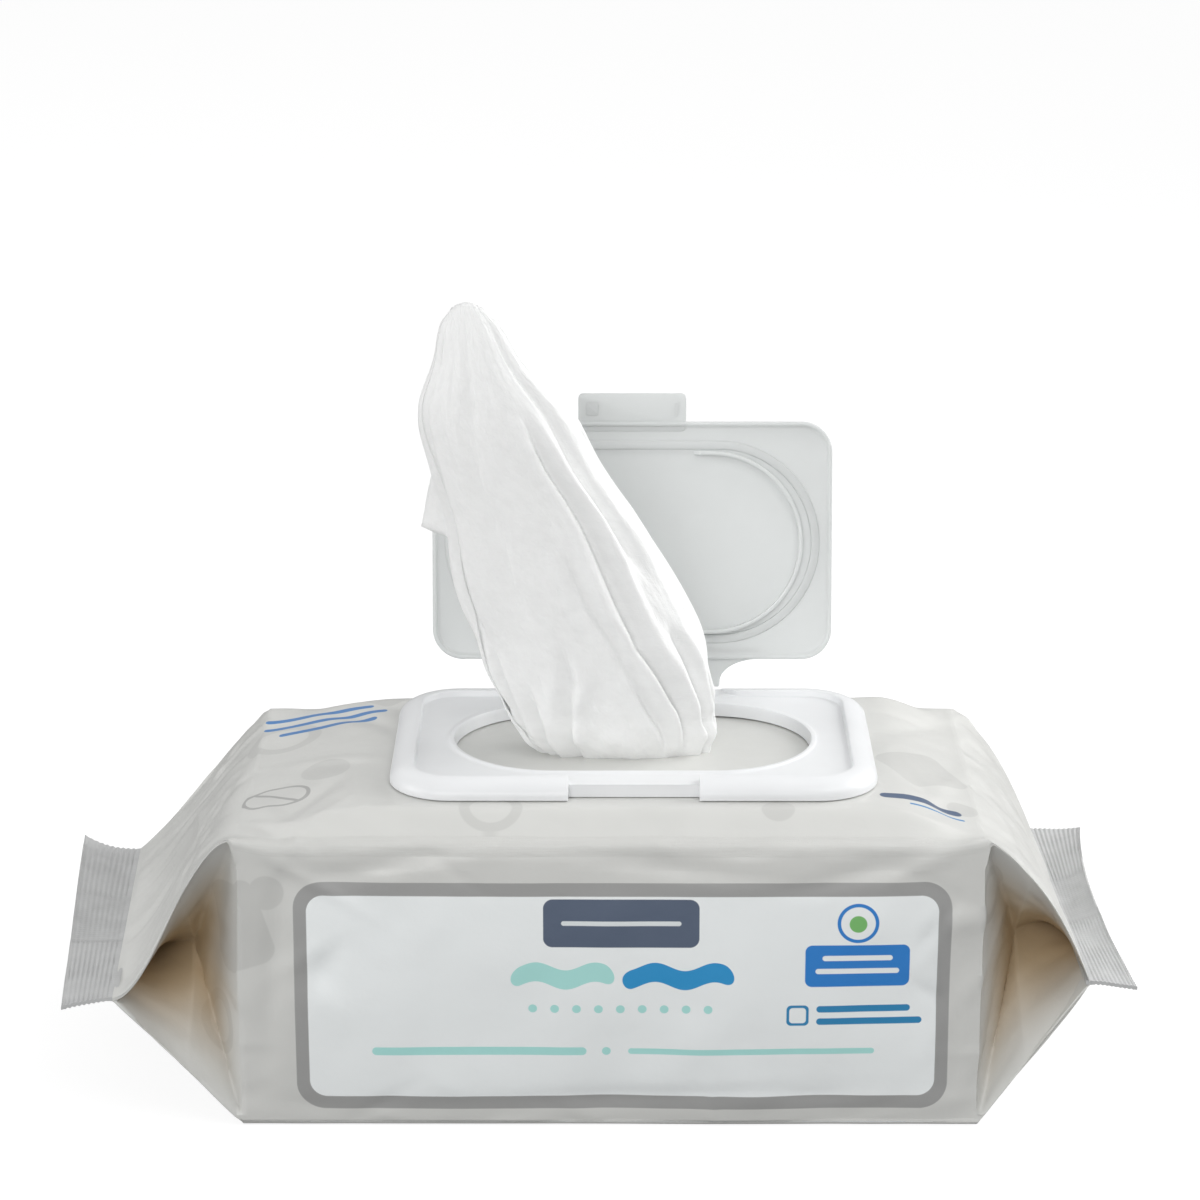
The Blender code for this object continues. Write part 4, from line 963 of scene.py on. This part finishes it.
class Wiring:
    """Short ways to lay shader nodes in one tree. A value may be a number or another node's output."""

    def __init__(self, tree):
        self.tree = tree

    def put(self, kind, **settings):
        node = self.tree.nodes.new(kind)
        for key, value in settings.items():
            setattr(node, key, value)
        return node

    def feed(self, socket, value):
        if isinstance(value, bpy.types.NodeSocket):
            self.tree.links.new(value, socket)
        elif value is not None:
            socket.default_value = value

    def math(self, operation, *values, clamp=False):
        node = self.put("ShaderNodeMath", operation=operation, use_clamp=clamp)
        for socket, value in zip(node.inputs, values):
            self.feed(socket, value)
        return node.outputs[0]

    def blend(self, share, one, two):
        node = self.put("ShaderNodeMix", data_type="RGBA")
        self.feed(node.inputs["Factor"], share)
        for name, value in (("A", one), ("B", two)):
            socket = [s for s in node.inputs if s.name == name and s.type == "RGBA"][0]
            self.feed(socket, (*value, 1.0) if isinstance(value, (tuple, list)) else value)
        return [s for s in node.outputs if s.type == "RGBA"][0]

    def ramp(self, value, low, high, to_low=0.0, to_high=1.0):
        node = self.put("ShaderNodeMapRange", interpolation_type="SMOOTHSTEP")
        names = ("Value", "From Min", "From Max", "To Min", "To Max")
        for name, v in zip(names, (value, low, high, to_low, to_high)):
            self.feed(node.inputs[name], v)
        return node.outputs["Result"]

    def noise(self, place, scale, detail=3.0, rough=0.55):
        node = self.put("ShaderNodeTexNoise")
        self.feed(node.inputs["Vector"], place)
        for name, v in (("Scale", scale), ("Detail", detail), ("Roughness", rough)):
            self.feed(node.inputs[name], v)
        return node.outputs[0]

    def split(self, place):
        node = self.put("ShaderNodeSeparateXYZ")
        self.feed(node.inputs[0], place)
        return node.outputs

    def stretch(self, place, scale, turn=0.0):
        node = self.put("ShaderNodeMapping")
        self.feed(node.inputs["Vector"], place)
        node.inputs["Rotation"].default_value = (0.0, 0.0, turn)
        node.inputs["Scale"].default_value = scale
        return node.outputs[0]

    def group(self, tree, **values):
        node = self.put("ShaderNodeGroup", node_tree=tree)
        for key, value in values.items():
            self.feed(node.inputs[key.replace("_", " ").title()], value)
        return node.outputs


def shader_group(name, values, results):
    """Makes a function that wires a group into one that returns the group, which its first call makes.

    The group takes a place and the named numbers, with their defaults, and gives the named results.
    """

    def wrap(wire):
        def get():
            tree = bpy.data.node_groups.get(name)
            if tree:
                return tree
            tree = bpy.data.node_groups.new(name, "ShaderNodeTree")
            tree.interface.new_socket(name="Place", in_out="INPUT", socket_type="NodeSocketVector")
            for label, value in values.items():
                socket = tree.interface.new_socket(name=label, in_out="INPUT", socket_type="NodeSocketFloat")
                socket.default_value = value
            for label in results:
                tree.interface.new_socket(name=label, in_out="OUTPUT", socket_type="NodeSocketFloat")
            wires = Wiring(tree)
            wire(wires, wires.put("NodeGroupInput").outputs, wires.put("NodeGroupOutput").inputs)
            return tree

        return get

    return wrap


@shader_group(
    "printed shape",
    {"X": 0.0, "Y": 0.0, "Half Length": 0.01, "Half Height": 0.01,
     "Corner": 0.002, "Turn": 0.0, "Edge": 0.0001},
    ("Mask",),
)
def printed_shape(w, given, result):
    """A rounded rectangle on the flat film, turned by an angle. Its mask is 1 inside, 0 outside."""
    along, up, _ = w.split(given["Place"])
    dx = w.math("SUBTRACT", along, given["X"])
    dy = w.math("SUBTRACT", up, given["Y"])
    c, s = w.math("COSINE", given["Turn"]), w.math("SINE", given["Turn"])
    rx = w.math("ADD", w.math("MULTIPLY", dx, c), w.math("MULTIPLY", dy, s))
    ry = w.math("SUBTRACT", w.math("MULTIPLY", dy, c), w.math("MULTIPLY", dx, s))
    qx = w.math("ADD", w.math("SUBTRACT", w.math("ABSOLUTE", rx), given["Half Length"]), given["Corner"])
    qy = w.math("ADD", w.math("SUBTRACT", w.math("ABSOLUTE", ry), given["Half Height"]), given["Corner"])
    ox, oy = w.math("MAXIMUM", qx, 0.0), w.math("MAXIMUM", qy, 0.0)
    far = w.math("SQRT", w.math("ADD", w.math("MULTIPLY", ox, ox), w.math("MULTIPLY", oy, oy)))
    near = w.math("MINIMUM", w.math("MAXIMUM", qx, qy), 0.0)
    distance = w.math("SUBTRACT", w.math("ADD", far, near), given["Corner"])
    low = w.math("MULTIPLY", given["Edge"], -1.0)
    w.feed(result["Mask"], w.ramp(distance, low, given["Edge"], 1.0, 0.0))


@shader_group("moulded grain", {"Grain": 2400.0, "Marks": 60.0}, ("Height", "Tint", "Gloss"))
def moulded_grain(w, given, result):
    """Fine spark texture, slow waviness and faint handling marks of a moulded plastic face."""
    fine = w.noise(given["Place"], given["Grain"], 2.0)
    slow = w.noise(given["Place"], given["Marks"], 4.0, 0.6)
    w.feed(result["Height"], w.math("ADD", w.math("MULTIPLY", fine, 0.35), slow))
    w.feed(result["Tint"], w.ramp(slow, 0.35, 0.75))
    streak = w.noise(w.stretch(given["Place"], (40.0, 55.0, 90.0)), 1.0, 2.0, 0.5)
    w.feed(result["Gloss"], w.ramp(streak, 0.25, 0.85))


@shader_group("pressed fibres", {"Fibre": 1.0, "Dimple": 0.4}, ("Height", "Damp", "Thin"))
def pressed_fibres(w, given, result):
    """Nonwoven cloth, from long crossed fibres, a faint pressed mesh of dimples and damp patches."""
    layers = []
    for turn, across in ((0.25, 5200.0), (-0.4, 4300.0), (1.3, 4700.0)):
        layers.append(w.noise(w.stretch(given["Place"], (520.0, across, 1.0), turn), 1.0, 2.0, 0.6))
    fibres = w.math("MAXIMUM", w.math("MAXIMUM", layers[0], layers[1]), layers[2])
    cells = w.put("ShaderNodeTexVoronoi", feature="SMOOTH_F1")
    w.feed(cells.inputs["Vector"], given["Place"])
    w.feed(cells.inputs["Scale"], 700.0)
    dimple = w.math("MULTIPLY", cells.outputs["Distance"], given["Dimple"])
    w.feed(result["Height"], w.math("ADD", w.math("MULTIPLY", fibres, given["Fibre"]), dimple))
    w.feed(result["Damp"], w.ramp(w.noise(given["Place"], 55.0, 3.0), 0.38, 0.68))
    w.feed(result["Thin"], w.ramp(w.noise(given["Place"], 260.0, 4.0, 0.7), 0.35, 0.7))


def tinted(colour, share):
    """A colour made darker, or paler with a share above one."""
    return tuple(c * share for c in colour)


def new_material(name):
    """A new material, its wiring and its Principled shader."""
    made = bpy.data.materials.new(name)
    made.use_nodes = True
    return made, Wiring(made.node_tree), made.node_tree.nodes["Principled BSDF"]


def bump(wires, shader, height, strength, distance):
    """Bends the shader's normals by a height."""
    node = wires.put("ShaderNodeBump")
    node.inputs["Strength"].default_value = strength
    node.inputs["Distance"].default_value = distance
    wires.feed(node.inputs["Height"], height)
    wires.feed(shader.inputs["Normal"], node.outputs[0])


def attribute(wires, name, output="Vector"):
    """Reads what a mesh keeps for each point."""
    return wires.put("ShaderNodeAttribute", attribute_name=name).outputs[output]


def printed_film(settings):
    """Satin film: warm grey ground, ghost motifs, the front label with its ring, plain shapes, and painted
    shade deep in the side tucks.
    """
    made, w, shader = new_material("printed satin film")
    place = attribute(w, "film_place")
    depth = attribute(w, "tuck_depth", "Fac")
    ground = tuple(settings.film_colour)
    label = tuple(settings.label_colour)

    def mark(x, y, half_length, half_height, corner, turn=0.0, edge=PRINT_EDGE, on=place):
        values = {"x": x, "y": y, "half_length": half_length, "half_height": half_height, "corner": corner}
        return w.group(printed_shape(), place=on, turn=turn, edge=edge, **values)["Mask"]

    slow = w.noise(place, 34.0, 3.0)
    colour = w.blend(w.ramp(slow, 0.3, 0.75), ground, tinted(ground, 0.965))

    ghost = 0.0
    for x, y, size, kind, turn in GHOSTS:
        motif = mark(x, y, size, size, size * 0.35 if kind == "square" else size, turn, GHOST_EDGE)
        if kind == "ring":
            hole = mark(x, y, size * 0.66, size * 0.66, size * 0.66, 0.0, GHOST_EDGE)
            motif = w.math("SUBTRACT", motif, hole, clamp=True)
        ghost = w.math("MAXIMUM", ghost, motif)
    ghost = w.math("MULTIPLY", ghost, settings.ghost_strength)
    colour = w.blend(ghost, colour, tinted(ground, 0.62))

    middle = (settings.label_x, settings.label_height)
    half_length, half_height = settings.label_length / 2, settings.label_depth / 2
    ring = mark(*middle, half_length, half_height, RING_CORNER)
    colour = w.blend(ring, colour, tuple(settings.ring_colour))
    inside = mark(*middle, half_length - RING_SIDES, half_height - RING_RAILS, LABEL_CORNER)
    colour = w.blend(inside, colour, label)

    for *shape, tone in BARS:
        colour = w.blend(mark(*shape), colour, label if tone == "label" else tone)
    for x, y, half_length, half_height, corner, wall, inner_corner, tone in HOLLOWS:
        outer = mark(x, y, half_length, half_height, corner)
        inner = mark(x, y, half_length - wall, half_height - wall, inner_corner)
        colour = w.blend(w.math("SUBTRACT", outer, inner, clamp=True), colour, tone)
    for x in np.linspace(*DOT_RUN):
        colour = w.blend(mark(float(x), DOT_LINE, DOT_HALF, DOT_HALF, DOT_HALF), colour, MINT)
    along, up, _ = w.split(place)
    wave = w.math("SINE", w.math("MULTIPLY", along, RIBBON_WAVES))
    moved = w.put("ShaderNodeCombineXYZ")
    w.feed(moved.inputs[0], along)
    w.feed(moved.inputs[1], w.math("ADD", up, w.math("MULTIPLY", wave, RIBBON_RISE)))
    for x, y, half_length, tone in RIBBONS:
        ribbon = mark(x, y, half_length, RIBBON_HALF, RIBBON_HALF, 0.0, 0.0001, moved.outputs[0])
        colour = w.blend(ribbon, colour, tone)

    # Painted shade: the film turns towards the dark warm tuck colour the deeper a point lies in a side tuck,
    # standing in for the shade there, warmed as by light passed through the film
    warm = w.ramp(depth, 0.0, 0.9)
    colour = w.blend(w.math("MULTIPLY", warm, 0.75), colour, tuple(settings.tuck_shade_colour))
    w.feed(shader.inputs["Base Color"], colour)
    crinkle = w.noise(place, 170.0, 3.0, 0.5)
    fine = w.noise(place, 1500.0, 2.0)
    least = settings.film_gloss
    w.feed(shader.inputs["Roughness"], w.ramp(crinkle, 0.3, 0.7, least, least + 0.12))
    shader.inputs["Specular IOR Level"].default_value = 0.5
    bump(w, shader, w.math("ADD", crinkle, w.math("MULTIPLY", fine, 0.06)), 0.45, 0.0003)
    return made


def sealed_film(settings):
    """Crimped end: silver grey unprinted film, paler where the gussets give it four layers, with a fine cross
    grain.
    """
    made, w, shader = new_material("crimped seal film")
    place = attribute(w, "seal_place")
    layers = w.split(place)[2]
    ground = tuple(settings.seal_colour)
    mottled = w.noise(place, 120.0, 4.0, 0.6)
    colour = w.blend(w.ramp(mottled, 0.3, 0.7), ground, tinted(ground, 0.88))
    colour = w.blend(w.math("MULTIPLY", layers, 0.35), colour, tinted(ground, 1.10))
    w.feed(shader.inputs["Base Color"], colour)
    knurl = w.put("ShaderNodeTexWave", wave_type="BANDS", bands_direction="Y")
    w.feed(knurl.inputs["Vector"], place)
    w.feed(knurl.inputs["Scale"], 260.0)
    w.feed(knurl.inputs["Distortion"], 0.6)
    w.feed(shader.inputs["Roughness"], w.ramp(mottled, 0.3, 0.7, 0.30, 0.45))
    bump(w, shader, w.math("ADD", w.math("MULTIPLY", knurl.outputs[0], 0.25), mottled), 0.35, 0.0004)
    return made


def moulded(name, colour, gloss, soft, marks=60.0):
    """Injection moulded plastic: faint waviness, spark grain and handling marks in its gloss."""
    made, w, shader = new_material(name)
    place = w.put("ShaderNodeTexCoord").outputs["Object"]
    grain = w.group(moulded_grain(), place=place, marks=marks)
    w.feed(shader.inputs["Base Color"], w.blend(grain["Tint"], colour, tinted(colour, 0.975)))
    w.feed(shader.inputs["Roughness"], w.ramp(grain["Gloss"], 0.0, 1.0, gloss, gloss + 0.05))
    shader.inputs["Subsurface Weight"].default_value = soft
    shader.inputs["Subsurface Radius"].default_value = (0.004, 0.004, 0.004)
    shader.inputs["Subsurface Scale"].default_value = 1.0
    bump(w, shader, grain["Height"], 0.10, 0.0001)
    return made


def damp_cloth(name, colour, by_layers=False):
    """Damp nonwoven: crossed fibres and dimples, a little darker and glossier in the damp patches."""
    made, w, shader = new_material(name)
    if by_layers:
        place = w.put("ShaderNodeTexCoord").outputs["Object"]
    else:
        place = attribute(w, "cloth_place")
    cloth = w.group(pressed_fibres(), place=place, fibre=1.0, dimple=0.5)
    tone = w.blend(cloth["Thin"], colour, tinted(colour, 0.965))
    tone = w.blend(w.math("MULTIPLY", cloth["Damp"], 0.5), tone, tinted(colour, 0.95))
    crumple = w.noise(w.stretch(place, (420.0, 150.0, 150.0)), 1.0, 3.0)
    height = w.math("ADD", cloth["Height"], w.math("MULTIPLY", crumple, 2.2))
    if by_layers:
        leaves = w.math("SINE", w.math("MULTIPLY", w.split(place)[2], LEAF_WAVES))
        height = w.math("ADD", height, w.math("MULTIPLY", leaves, 0.4))
    w.feed(shader.inputs["Base Color"], tone)
    w.feed(shader.inputs["Roughness"], w.ramp(cloth["Damp"], 0.0, 1.0, 0.78, 0.60))
    shader.inputs["Sheen Weight"].default_value = 0.12
    bump(w, shader, height, 0.55, 0.0003)
    return made


def tacky_glue(colour):
    """Pressure adhesive: milky, dull, with small trapped bubbles."""
    made, w, shader = new_material("milky adhesive")
    place = w.put("ShaderNodeTexCoord").outputs["Object"]
    cells = w.put("ShaderNodeTexVoronoi")
    w.feed(cells.inputs["Vector"], place)
    w.feed(cells.inputs["Scale"], 420.0)
    spots = w.ramp(cells.outputs["Distance"], 0.05, 0.35)
    w.feed(shader.inputs["Base Color"], w.blend(spots, tinted(colour, 0.9), colour))
    w.feed(shader.inputs["Roughness"], w.ramp(spots, 0.0, 1.0, 0.45, 0.65))
    bump(w, shader, spots, 0.2, 0.0002)
    return made


def pale_floor(settings):
    """Dull floor that glows to the camera only, so that it is as white as the sky behind it."""
    made, w, shader = new_material("pale floor")
    shader.inputs["Base Color"].default_value = (*settings.floor_colour, 1.0)
    shader.inputs["Roughness"].default_value = 0.9
    shader.inputs["Specular IOR Level"].default_value = 0.1
    shader.inputs["Emission Color"].default_value = (1.0, 1.0, 1.0, 1.0)
    seen = w.put("ShaderNodeLightPath").outputs["Is Camera Ray"]
    w.feed(shader.inputs["Emission Strength"], w.math("MULTIPLY", seen, FLOOR_GLOW))
    return made


def soft_sky(settings):
    """Even light from all round: full white to the camera, and the chosen strength to everything else."""
    world = bpy.data.worlds.new("soft sky")
    world.use_nodes = True
    w = Wiring(world.node_tree)
    back = world.node_tree.nodes["Background"]
    back.inputs["Color"].default_value = (1.0, 1.0, 1.0, 1.0)
    seen = w.put("ShaderNodeLightPath").outputs["Is Camera Ray"]
    rest = w.math("MULTIPLY", w.math("SUBTRACT", 1.0, seen), settings.world_light)
    w.feed(back.inputs["Strength"], w.math("ADD", seen, rest))
    return world


def recolour(node, material):
    """Gives one of the pack's own solids a new material."""
    materials = frame["nodes"][node].data.materials
    materials.clear()
    materials.append(material)


def colour_setting(name, about, rgb):
    """A colour for the panel."""
    return FloatVectorProperty(name=name, description=about, subtype="COLOR", default=rgb, min=0, max=1)


def length_setting(name, about, metres):
    """A length for the panel."""
    return FloatProperty(name=name, description=about, default=metres, unit="LENGTH", precision=5)


def number_setting(name, about, value, most=10.0):
    """A plain number for the panel, from 0 up to most."""
    return FloatProperty(name=name, description=about, default=value, min=0, max=most)


class PouchSettings(bpy.types.PropertyGroup):
    """Sizes and looks of the film pouch"""

    film_colour: colour_setting("Film", "Ground colour of the printed film", (0.650, 0.652, 0.630))
    # The tuck colour is painted shade, warmed as by light passed through the film, for the deep parts of the
    # side tucks
    tuck_shade_colour: colour_setting("Tuck", "Colour deep in the side tucks", (0.50, 0.34, 0.15))
    seal_colour: colour_setting("Seal", "Colour of the crimped ends", (0.51, 0.515, 0.515))
    label_colour: colour_setting("Label", "Ground colour of the front label", (0.88, 0.91, 0.912))
    ring_colour: colour_setting("Label ring", "Colour of the band round the label", (0.355, 0.355, 0.35))
    film_gloss: number_setting("Film roughness", "Roughness of the film where it is smoothest", 0.29, 1.0)
    ghost_strength: number_setting("Ghost print", "Strength of the pale motifs", 0.30, 1.0)
    fold_depth: number_setting("Folds", "How strongly the film is creased", 1.0, 3.0)
    fold_seed: IntProperty(name="Fold pattern", description="Number for the small creases", default=14, min=0)
    label_x: length_setting("Label place", "Middle of the label along the pack", 0.0030)
    label_height: length_setting("Label height", "Middle of the label above the base", 0.0345)
    label_length: length_setting("Label length", "Length of the label", 0.1645)
    label_depth: length_setting("Label depth", "Height of the label", 0.0616)
    left_seal: length_setting("Left seal", "Width of the left seal", 0.0148)
    right_seal: length_setting("Right seal", "Width of the right seal", 0.0128)
    ridge_depth: length_setting("Crimp", "Depth of the crimp's ridges", 0.00030)
    ridges: IntProperty(name="Ridges", description="Number of ridges across a seal", default=9, min=1)


class LidSettings(bpy.types.PropertyGroup):
    """Looks of the lid"""

    frame_colour: colour_setting("Frame", "Colour of the lid's frame", (0.80, 0.81, 0.82))
    # The flap is the same white plastic as the frame; its darker colour is painted shade on the open flap's
    # face towards the front
    flap_shade_colour: colour_setting("Flap", "Colour of the flap", (0.685, 0.705, 0.70))
    glue_colour: colour_setting("Adhesive", "Colour of the adhesive ring", (0.80, 0.79, 0.74))
    gloss: number_setting("Roughness", "Roughness of the moulded faces", 0.29, 1.0)
    rib_height: length_setting("Sealing rib", "Height of the outer sealing rib", 0.0004)


class WipeSettings(bpy.types.PropertyGroup):
    """Looks of the wipes"""

    cloth_colour: colour_setting("Cloth", "Colour of the damp cloth", (0.94, 0.945, 0.94))
    pleat_depth: number_setting("Pleats", "How deep the creases of the drawn wipe are", 0.62, 2.0)
    thickness: length_setting("Thickness", "Thickness of the cloth", 0.0003)


class StageSettings(bpy.types.PropertyGroup):
    """Floor, light and camera"""

    floor_colour: colour_setting("Floor", "Colour of the floor", (0.24, 0.24, 0.24))
    world_light: number_setting("Sky", "Strength of the even light from all round", 0.49)
    key_light: number_setting("Key lamp", "Power of the large lamp at the upper right", 4.4, 100.0)
    front_light: number_setting("Front lamp", "Power of the lamp beside the camera", 10.2, 100.0)
    fill_light: number_setting("Fill lamp", "Power that the side, left and back lamps share out", 3.5, 100.0)
    lens: FloatProperty(
        name="Lens", description="Focal length of the camera", default=112.70, subtype="DISTANCE_CAMERA"
    )


class WIPESPACK_OT_pouch(bpy.types.Operator):
    """Makes the creased film body and its two crimped seals"""

    bl_idname = "wipespack.pouch"
    bl_label = "Film pouch"

    def execute(self, context):
        settings = context.scene.wipes_pouch
        points, place, depth = pouch_grid(settings)
        rows, cols = points.shape[:2]
        last = (rows - 1) * cols
        caps = [range(cols), range(last, last + cols)]
        body = add_piece("film_body", points, grid_faces(rows, cols, close_cols=True), caps, soft_angle=60)
        store(body, "film_place", place.reshape(-1, 3))
        store(body, "tuck_depth", depth.reshape(-1))
        outward(body)
        body.data.materials.append(printed_film(settings))
        seal = sealed_film(settings)
        pieces = [body]
        for side, name in ((-1.0, "left_seal"), (1.0, "right_seal")):
            width = getattr(settings, name)
            points, faces, flat = seal_grid(side, width, settings.ridge_depth, settings.ridges)
            piece = add_piece(name, points, faces, soft_angle=50)
            store(piece, "seal_place", flat)
            outward(piece)
            piece.data.materials.append(seal)
            pieces.append(piece)
        for piece in pieces:
            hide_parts("film_pouch")
            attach(piece, "pack")
        return {"FINISHED"}


class WIPESPACK_OT_lid(bpy.types.Operator):
    """Makes the moulded frame and the open flap, and finishes the adhesive ring"""

    bl_idname = "wipespack.lid"
    bl_label = "Lid"

    def execute(self, context):
        settings = context.scene.wipes_lid
        points, faces = frame_grid()
        ring = add_piece("moulded_frame", points, faces, soft_angle=40)
        outward(ring)
        ring.data.materials.append(moulded("lid plastic", tuple(settings.frame_colour), settings.gloss, 0.05))
        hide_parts("lid_frame")
        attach(ring, "pack")
        points, faces, caps = join_shells(flap_parts(settings))
        turn = Matrix.Rotation(-FLAP_OPEN, 3, "X")
        points = (points - np.array(HINGE)) @ np.array(turn).T + np.array(HINGE)
        flap = add_piece("moulded_flap", points, faces, caps, soft_angle=40)
        outward(flap)
        # The flap's plastic is darker than the frame's: painted shade
        plastic = moulded("shaded flap plastic", tuple(settings.flap_shade_colour), settings.gloss, 0.15, 45.0)
        flap.data.materials.append(plastic)
        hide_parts("lid_flap")
        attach(flap, "flap")
        recolour("lid_adhesive", tacky_glue(tuple(settings.glue_colour)))
        return {"FINISHED"}


class WIPESPACK_OT_wipes(bpy.types.Operator):
    """Makes the drawn wipe as a gathered sheet, and finishes the folded stack"""

    bl_idname = "wipespack.wipes"
    bl_label = "Wipes"

    def execute(self, context):
        settings = context.scene.wipes_cloth
        points, place = wipe_grid(settings)
        wipe = add_piece("drawn_wipe", points, grid_faces(*points.shape[:2]))
        store(wipe, "cloth_place", place.reshape(-1, 3))
        skin = wipe.modifiers.new("cloth thickness", "SOLIDIFY")
        skin.thickness = settings.thickness
        skin.offset = 0.0
        wipe.data.materials.append(damp_cloth("damp nonwoven", tuple(settings.cloth_colour)))
        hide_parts("pulled_wipe")
        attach(wipe, "pack")
        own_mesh(wipe)
        recolour("wipe_stack", damp_cloth("folded nonwoven", tuple(settings.cloth_colour), by_layers=True))
        return {"FINISHED"}


class WIPESPACK_OT_stage(bpy.types.Operator):
    """Makes the floor, the lights and the camera"""

    bl_idname = "wipespack.stage"
    bl_label = "Stage"

    def execute(self, context):
        settings = context.scene.wipes_stage
        scene = context.scene
        points = [(x, y, -FLOOR_GAP) for x, y in FLOOR_CORNERS]
        floor = add_piece("floor", points, [[0, 1, 2, 3]])
        floor.data.materials.append(pale_floor(settings))
        scene.world = soft_sky(settings)
        for name, place, size, power, share in LAMPS:
            data = bpy.data.lights.new(name, "AREA")
            data.shape = "SQUARE"
            data.size = size
            data.energy = share * getattr(settings, power)
            lamp = bpy.data.objects.new(name, data)
            scene.collection.objects.link(lamp)
            lamp.location = place
            towards = Vector(LAMP_TARGET) - Vector(place)
            lamp.rotation_euler = towards.to_track_quat("-Z", "Y").to_euler()
        data = bpy.data.cameras.new("camera")
        data.lens = settings.lens
        data.sensor_width = 36.0
        data.sensor_fit = "HORIZONTAL"
        camera = bpy.data.objects.new("camera", data)
        scene.collection.objects.link(camera)
        camera.location = CAMERA_PLACE
        camera.rotation_euler = (math.radians(90.0 - CAMERA_DIP), 0.0, math.radians(CAMERA_TURN))
        scene.camera = camera
        scene.view_settings.view_transform = "Standard"
        return {"FINISHED"}


class WIPESPACK_PT_panel(bpy.types.Panel):
    """Lists the pieces of the pack"""

    bl_idname = "WIPESPACK_PT_panel"
    bl_label = "Wipes pack"
    bl_space_type = "VIEW_3D"
    bl_region_type = "UI"
    bl_category = "Wipes pack"

    def draw(self, context):
        for group, _, operator in GROUPS:
            box = self.layout.box()
            settings = getattr(context.scene, group)
            for name in settings.__annotations__:
                box.prop(settings, name)
            box.operator("wipespack." + operator)


CLASSES = (
    PouchSettings, LidSettings, WipeSettings, StageSettings, WIPESPACK_OT_pouch, WIPESPACK_OT_lid,
    WIPESPACK_OT_wipes, WIPESPACK_OT_stage, WIPESPACK_PT_panel,
)
GROUPS = (
    ("wipes_pouch", PouchSettings, "pouch"), ("wipes_lid", LidSettings, "lid"),
    ("wipes_cloth", WipeSettings, "wipes"), ("wipes_stage", StageSettings, "stage"),
)


def register():
    for cls in CLASSES:
        bpy.utils.register_class(cls)
    for name, cls, _ in GROUPS:
        setattr(bpy.types.Scene, name, PointerProperty(type=cls))


def unregister():
    for name, *_ in GROUPS:
        delattr(bpy.types.Scene, name)
    for cls in reversed(CLASSES):
        bpy.utils.unregister_class(cls)


def main():
    """Makes every piece."""
    register()
    for step in ("stage", "pouch", "lid", "wipes"):
        getattr(bpy.ops.wipespack, step)()


if __name__ == "__main__":
    main()
